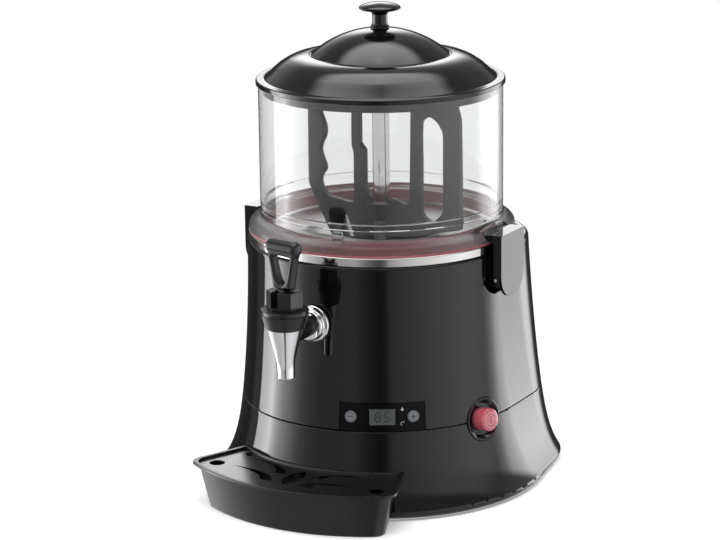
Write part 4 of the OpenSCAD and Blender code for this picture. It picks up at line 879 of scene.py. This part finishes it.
def make_signs():
    """Digits on the display, plus and minus on the buttons, and two small signs beside them."""
    face = front_r(PANEL_MID) - 1
    screen = wall_place(28.6, PANEL_MID, face, PANEL_TILT)
    half_w, half_h, bevel = 2.4, 4.2, 0.45
    slant = Matrix(((1, 0.12, 0, 0), (0, 1, 0, 0), (0, 0, 1, 0), (0, 0, 0, 1)))
    for k, digit in enumerate(DIGITS):
        place = screen @ shift(4.2 * (2 * k - 1), 0, -0.86) @ slant
        parts = []
        for mark in digit:
            x, y, flat = SEGMENTS[mark]
            tip = (half_w if flat else half_h / 2) - 0.35
            box = [(-tip, 0), (bevel - tip, bevel), (tip - bevel, bevel), (tip, 0), (tip - bevel, -bevel),
                   (bevel - tip, -bevel)]
            if not flat:
                box = [(-q, p) for p, q in box]
            parts.append(plate("cell", moved(box, x * half_w, y * half_h), [], SIGN_T, SIGN_EDGE, place))
        merged(f"display_digit_{k}", parts, "machine", "sign_dark")
    bar = fillet([(-2.6, -0.42), (2.6, -0.42), (2.6, 0.42), (-2.6, 0.42)], 0.4, 3)
    for name, turn, bars in (("minus", 16, (0,)), ("plus", 41, (0, 90))):
        place = wall_place(turn, PANEL_MID, face, PANEL_TILT) @ shift(0, 0, 0.52)
        parts = [plate("bar", bar, [], SIGN_T, SIGN_EDGE, place @ spin(a)) for a in bars]
        ring = turned("ring", [(4.3, -0.07), (4.7, -0.07), (4.7, 0.07), (4.3, 0.07)], 64, place)
        merged(f"{name}_sign", parts + [ring], name, "sign_dark")
    flame = flow([(0, -1.7), (1.3, -1), (1.2, 0.2), (0.3, 0.9), (0.4, 2), (-0.8, 0.9), (-1.4, -0.3), (-1, -1.4)], 4)
    swirl = arc(0, 0, 2, 0.3, 4.6, 14) + arc(0, 0, 1.4, 4.6, 0.3, 14)
    for k, (shape, up) in enumerate(((flame, 7.4), (swirl, -6.4))):
        place = wall_place(36.6, PANEL_MID + up, front_r(PANEL_MID + up) - 1, PANEL_TILT)
        sign = plate(f"panel_sign_{k}", shape, [], SIGN_T, SIGN_EDGE, place @ shift(0, 0, 0.06))
        settle(sign, body="machine", material="sign_pale")


# ---- drip tray

ARCH_R, ARCH_Y, CORNER_R = 190.0, -26.0, 14.0
SIDE_AT = Vector((84.5, -112.0))
SIDE_WAY = Vector((43.5, -105.0)).normalized()
SIDE_OUT = Vector((-SIDE_WAY.y, SIDE_WAY.x))
GRILLE_Z, GRILLE_T = 40.05, 1.5


def tray_outline(inset, back_r):
    """The tray from above: arched front, round corners, straight sides and a back round the housing."""
    corner = CORNER_R - 0.15 * inset
    deep = inset + corner
    arch = Vector((0, ARCH_Y))
    across = SIDE_OUT.dot(SIDE_AT - arch) - deep
    away = SIDE_OUT * across + SIDE_WAY * math.sqrt((ARCH_R - deep) ** 2 - across ** 2)
    middle = arch + away
    start, end = math.atan2(SIDE_OUT.y, SIDE_OUT.x), math.atan2(away.y, away.x)
    edge = SIDE_AT - SIDE_OUT * inset
    along = -edge.dot(SIDE_WAY)
    rear = edge + SIDE_WAY * (along + math.sqrt(along ** 2 - edge.length_squared + back_r ** 2))
    turned = [middle + Vector((math.cos(a), math.sin(a))) * corner for a in spaced(start, end, 12)]
    half = [rear.lerp(turned[0], k / 6) for k in range(6)] + turned
    sweep = end + math.pi / 2
    half += [arch + Vector((math.sin(a), -math.cos(a))) * (ARCH_R - inset) for a in spaced(sweep, 0, 40)[1:]]
    rest = math.atan2(rear.x, -rear.y)
    back = [Vector((math.sin(a), -math.cos(a))) * back_r for a in spaced(-rest, rest, 40)[1:-1]]
    return [tuple(p) for p in half] + [(-p.x, p.y) for p in half[-2::-1]] + [tuple(p) for p in back]


def tray_ring(z, inset, back):
    """The tray's outline at a height; back is its play to the housing's wall."""
    return rings_at(tray_outline(inset, front_r(z) + back), z)[0]


def make_drip_tray():
    def wall(z, low_inset, high_inset, low, high):
        return low_inset + (high_inset - low_inset) * (z - low) / (high - low)

    rows = [(0, 13.1, 1.2), (0.2, 12.75, 0.8), (0.7, 12.4, 0.6)]
    rows += [(z, wall(z, 12.5, 4.5, 0, 43), 0.6) for z in spaced(2, 40.4, 14)]
    rows += [(41, 4.4, 0.6), (41, 0.6, 0.6), (41.2, 0.2, 0.6), (41.7, 0, 0.6), (43.2, 0, 0.6), (43.7, 0.2, 0.8),
             (44, 0.8, 1.1), (44, 3.9, 2.3), (43.8, 4.3, 2.65), (43.4, 4.5, 2.8), (40, 4.5, 2.8), (40, 8.3, 4.8),
             (39, 8.3, 4.8), (39, 6.7, 2.8)]
    rows += [(z, wall(z, 14.7, 6.7, 2.2, 39), 2.8) for z in spaced(34, 2.2, 8)]
    tray = from_bmesh("drip_tray_basin", loft([tray_ring(*row) for row in rows], capped=True))
    settle(tray, "drip_tray", sharp=32)


def comma_slot(tip, reach, fall, width, side):
    """A curved slot that widens from a point to a round end."""
    def centre(t):
        return Vector((tip[0] - reach * math.sin(math.pi / 2 * t), tip[1] - fall * (1 - math.cos(math.pi / 2 * t))))

    def across(t):
        d = centre(t + 0.01) - centre(t - 0.01)
        return Vector((-d.y, d.x)).normalized() * (width * t / 2)

    upper = [centre(t) + across(t) for t in spaced(0, 1, 28)]
    lower = [centre(t) - across(t) for t in spaced(1, 0, 28)[:-1]]
    return [(side * p.x, p.y) for p in upper + lower]


def make_grille():
    holes = [hole for side in (-1, 1) for hole in (
        arc(side * 87, -170, 7.4, 0, 2 * math.pi, 40)[:-1], arc(side * 71, -133, 5.8, 0, 2 * math.pi, 40)[:-1],
        comma_slot((68, -143), 48, 25, 11.5, side), comma_slot((71, -169), 49, 22, 13.5, side))]
    leaf_y, leaf_r, leaf_half = -173, 31, 8
    swing = math.acos((leaf_r - leaf_half) / leaf_r)
    holes.append([(side * (leaf_r * math.cos(a) - leaf_r + leaf_half), leaf_y + side * leaf_r * math.sin(a))
                  for side in (1, -1) for a in spaced(-swing, swing, 24)[:-1]])
    top = GRILLE_Z + GRILLE_T
    grille = from_bmesh("grille_sheet", loft([tray_ring(*row) for row in (
        (GRILLE_Z, 5, 3.3), (GRILLE_Z + 0.3, 4.8, 3.1), (top - 0.5, 4.8, 3.1), (top - 0.15, 4.9, 3.2),
        (top, 5.2, 3.5))], capped=True))
    slots = join(*(loft(rings_at(hole, GRILLE_Z - 2, top + 2), capped=True) for hole in holes))
    cut(grille, from_bmesh("slots", slots))
    soften(grille, 0.25, 60)
    settle(grille, "drip_grille", material="grille_black", sharp=50)


# ---- studio


def area_light(name, turn, distance, height, size, power, aim_height):
    """A soft lamp round the tank: turn is its direction in degrees, 0 towards +X and 90 to the rear."""
    data = bpy.data.lights.new(name, "AREA")
    data.shape = "RECTANGLE"
    data.size, data.size_y = size
    data.energy = power
    lamp = loose(name, data)
    a = math.radians(turn)
    place = TO_ROW @ Vector((distance * math.cos(a), distance * math.sin(a), height))
    aim = TO_ROW @ Vector((0, 0, aim_height)) - place
    lamp.matrix_world = Matrix.Translation(place) @ aim.to_track_quat("-Z", "Y").to_matrix().to_4x4()
    for way in ("camera", "transmission", "glossy"):
        setattr(lamp, f"visible_{way}", False)


# What the gloss sees round the studio, from below to above. Each band takes over from the one before
# between two heights (the Z of a direction), and holds brightness by direction in degrees (0 is +X, 90
# the rear).
LIGHT_BANDS = [
    (None, [
        (-180, 1.2), (-165, 0.9), (-146, 0.5), (-114, 0.5), (-80, 0.6), (-68, 0.45), (-64, 0.04), (-58, 0.04),
        (-54, 0.45), (-40, 0.7), (0, 0.8), (40, 0.6), (80, 0.8), (120, 1.4), (160, 2.0)]),
    ((-0.46, -0.32), [
        (-180, 4.2), (-173, 5.6), (-167, 7.5), (-163, 9.5), (-159, 7), (-155, 5.2), (-150, 3.7), (-137, 1.7),
        (-131, 1.0), (-125, 0.7), (-115, 0.45), (-104, 0.42), (-84, 0.48), (-74, 0.2), (-64, 0.07), (-59, 0.13),
        (-54, 0.46), (-35, 0.78), (-14, 1.05), (8, 1.35), (20, 1.3), (33, 1.0), (41, 1.9), (49, 4.0), (68, 4.6),
        (78, 3.0), (84, 0.9), (88, 0.1), (103, 0.04), (163, 0.06), (172, 0.25)]),
    ((0.10, 0.24), [
        (-180, 2.0), (-165, 1.6), (-150, 1.7), (-137, 2.0), (-125, 1.4), (-110, 0.8), (-100, 0.6), (-80, 0.5),
        (-64, 0.15), (-54, 0.4), (-35, 0.7), (-14, 0.95), (8, 1.0), (20, 0.8), (33, 0.5), (49, 0.6), (68, 0.6),
        (84, 0.2), (104, 0.35), (110, 0.9), (115, 3.6), (125, 3.6), (131, 1.0), (140, 0.5), (160, 0.5),
        (172, 0.9)]),
    ((0.40, 0.55), [
        (-180, 0.3), (-150, 0.3), (-120, 0.3), (-64, 0.25), (-20, 0.3), (40, 0.25), (90, 0.3), (119, 0.5),
        (145, 0.3)]),
    ((0.76, 0.88), [
        (-180, 3.4), (-150, 2.6), (-115, 1.6), (-61, 1.0), (-20, 1.4), (20, 2.2), (60, 3.2), (119, 4.2),
        (160, 3.8)]),
]
BRIGHTEST = 10.0
PLAIN_LIGHT, FLOOR_GLOW = 0.4, 0.2
FLOOR_SIZE, FLOOR_DROP = 6000, 0.3
FADE_FROM, FADE_TO = 0.22, 0.75
WHITE = (1, 1, 1, 1)


def ring_of_light(tree, turn, stops):
    """A colour ramp over the full turn; turn runs from 0 to 1."""
    node = add_node(tree, "ShaderNodeValToRGB", {"Fac": turn})
    ramp = node.color_ramp
    while len(ramp.elements) > 1:
        ramp.elements.remove(ramp.elements[0])
    for k, (angle, value) in enumerate(stops):
        spot = ramp.elements[0] if k == 0 else ramp.elements.new((angle + 180) / 360)
        spot.position = (angle + 180) / 360
        spot.color = (*[value / BRIGHTEST] * 3, 1)
    return node.outputs["Color"]


def smooth_range(tree, value, start, end):
    """0 below start and 1 above end, with a smooth step between."""
    return add_node(tree, "ShaderNodeMapRange", {"Value": value, "From Min": start, "From Max": end},
                    interpolation_type="SMOOTHSTEP").outputs[0]


def blend(tree, share, first, second):
    return add_node(tree, "ShaderNodeMixShader", {0: share, 1: first, 2: second}).outputs[0]


def direct_view(tree):
    """The light path, and 1 for what the camera sees, straight or through clear plastic, else 0."""
    path = add_node(tree, "ShaderNodeLightPath").outputs
    return path, maths(tree, "MAXIMUM", path["Is Camera Ray"], path["Is Transmission Ray"])


def make_world():
    world = bpy.data.worlds.new("studio")
    bpy.context.scene.world = world
    world.use_nodes = True
    tree = world.node_tree
    tree.nodes.clear()
    out = add_node(tree, "ShaderNodeOutputWorld")
    generated = add_node(tree, "ShaderNodeTexCoord").outputs["Generated"]
    way = add_node(tree, "ShaderNodeSeparateXYZ", {0: generated}).outputs
    angle = maths(tree, "ARCTAN2", way["Y"], way["X"])
    turn = maths(tree, "MULTIPLY_ADD", angle, 1 / (2 * math.pi), 0.5)
    whole = None
    for heights, stops in LIGHT_BANDS:
        ring = ring_of_light(tree, turn, stops)
        whole = mix_colours(tree, smooth_range(tree, way["Z"], *heights), whole, ring) if heights else ring
    shine, plain, seen = (
        add_node(tree, "ShaderNodeBackground", {"Color": colour, "Strength": strength}).outputs[0]
        for colour, strength in ((whole, BRIGHTEST), (WHITE, PLAIN_LIGHT), (WHITE, 1.0)))
    path, direct = direct_view(tree)
    fill(tree, out.inputs["Surface"], blend(tree, direct, blend(tree, path["Is Glossy Ray"], plain, shine), seen))


def make_studio():
    make_world()
    floor_bm = bmesh.new()
    bmesh.ops.create_grid(floor_bm, x_segments=8, y_segments=8, size=FLOOR_SIZE)
    floor = from_bmesh("floor", floor_bm, TO_ROW @ shift(0, 0, -FLOOR_DROP))
    material, tree, shader = new_material("pale_floor")
    set_inputs(shader, Base_Color=(0.93, 0.93, 0.93, 1), Roughness=0.8, Specular_IOR_Level=0.2)
    # lit by the studio near the object, and fading to plain white further out, for the camera alone
    glow, far = (add_node(tree, "ShaderNodeEmission", {"Color": WHITE, "Strength": strength}).outputs[0]
                 for strength in (FLOOR_GLOW, 1.0))
    near = add_node(tree, "ShaderNodeAddShader", {0: shader.outputs[0], 1: glow}).outputs[0]
    place = add_node(tree, "ShaderNodeTexCoord").outputs["Object"]
    away = add_node(tree, "ShaderNodeVectorMath", {0: place}, operation="LENGTH").outputs["Value"]
    lifted = blend(tree, smooth_range(tree, away, FADE_FROM, FADE_TO), near, far)
    fill(tree, tree.nodes["Material Output"].inputs["Surface"],
         blend(tree, direct_view(tree)[1], shader.outputs[0], lifted))
    floor.data.materials.append(material)
    floor.visible_glossy = False
    for row in (("left_softbox", -171, 1500, 420, (0.62, 1.5), 14, 220),
                ("right_softbox", 66, 1500, 420, (0.85, 1.6), 18, 220),
                ("top_softbox", -70, 700, 1500, (1.5, 1.2), 26, 300)):
        area_light(*row)
    bpy.context.scene.view_settings.view_transform = "Standard"


# ---- the whole

for make in (make_camera, make_upper_housing, make_lower_skirt, make_tank, make_bowl, make_lid, make_stirrer,
             make_tap, make_bonnet, make_handle, make_power_button, make_signs, make_drip_tray, make_grille):
    make()
for node_name, width, finish in (
        ("latch_left", 0.7, "latch_black"), ("latch_right", 0.7, "latch_black"), ("latch_bracket_left", 0.5, None),
        ("latch_bracket_right", 0.5, None), ("control_panel", 0.25, "panel_black"), ("minus_button", 0.4, None),
        ("plus_button", 0.4, None)):
    softened(node_name, width, finish)
for node_name, node in frame["nodes"].items():
    if not node.hide_render:
        own_material(node_name)
make_studio()
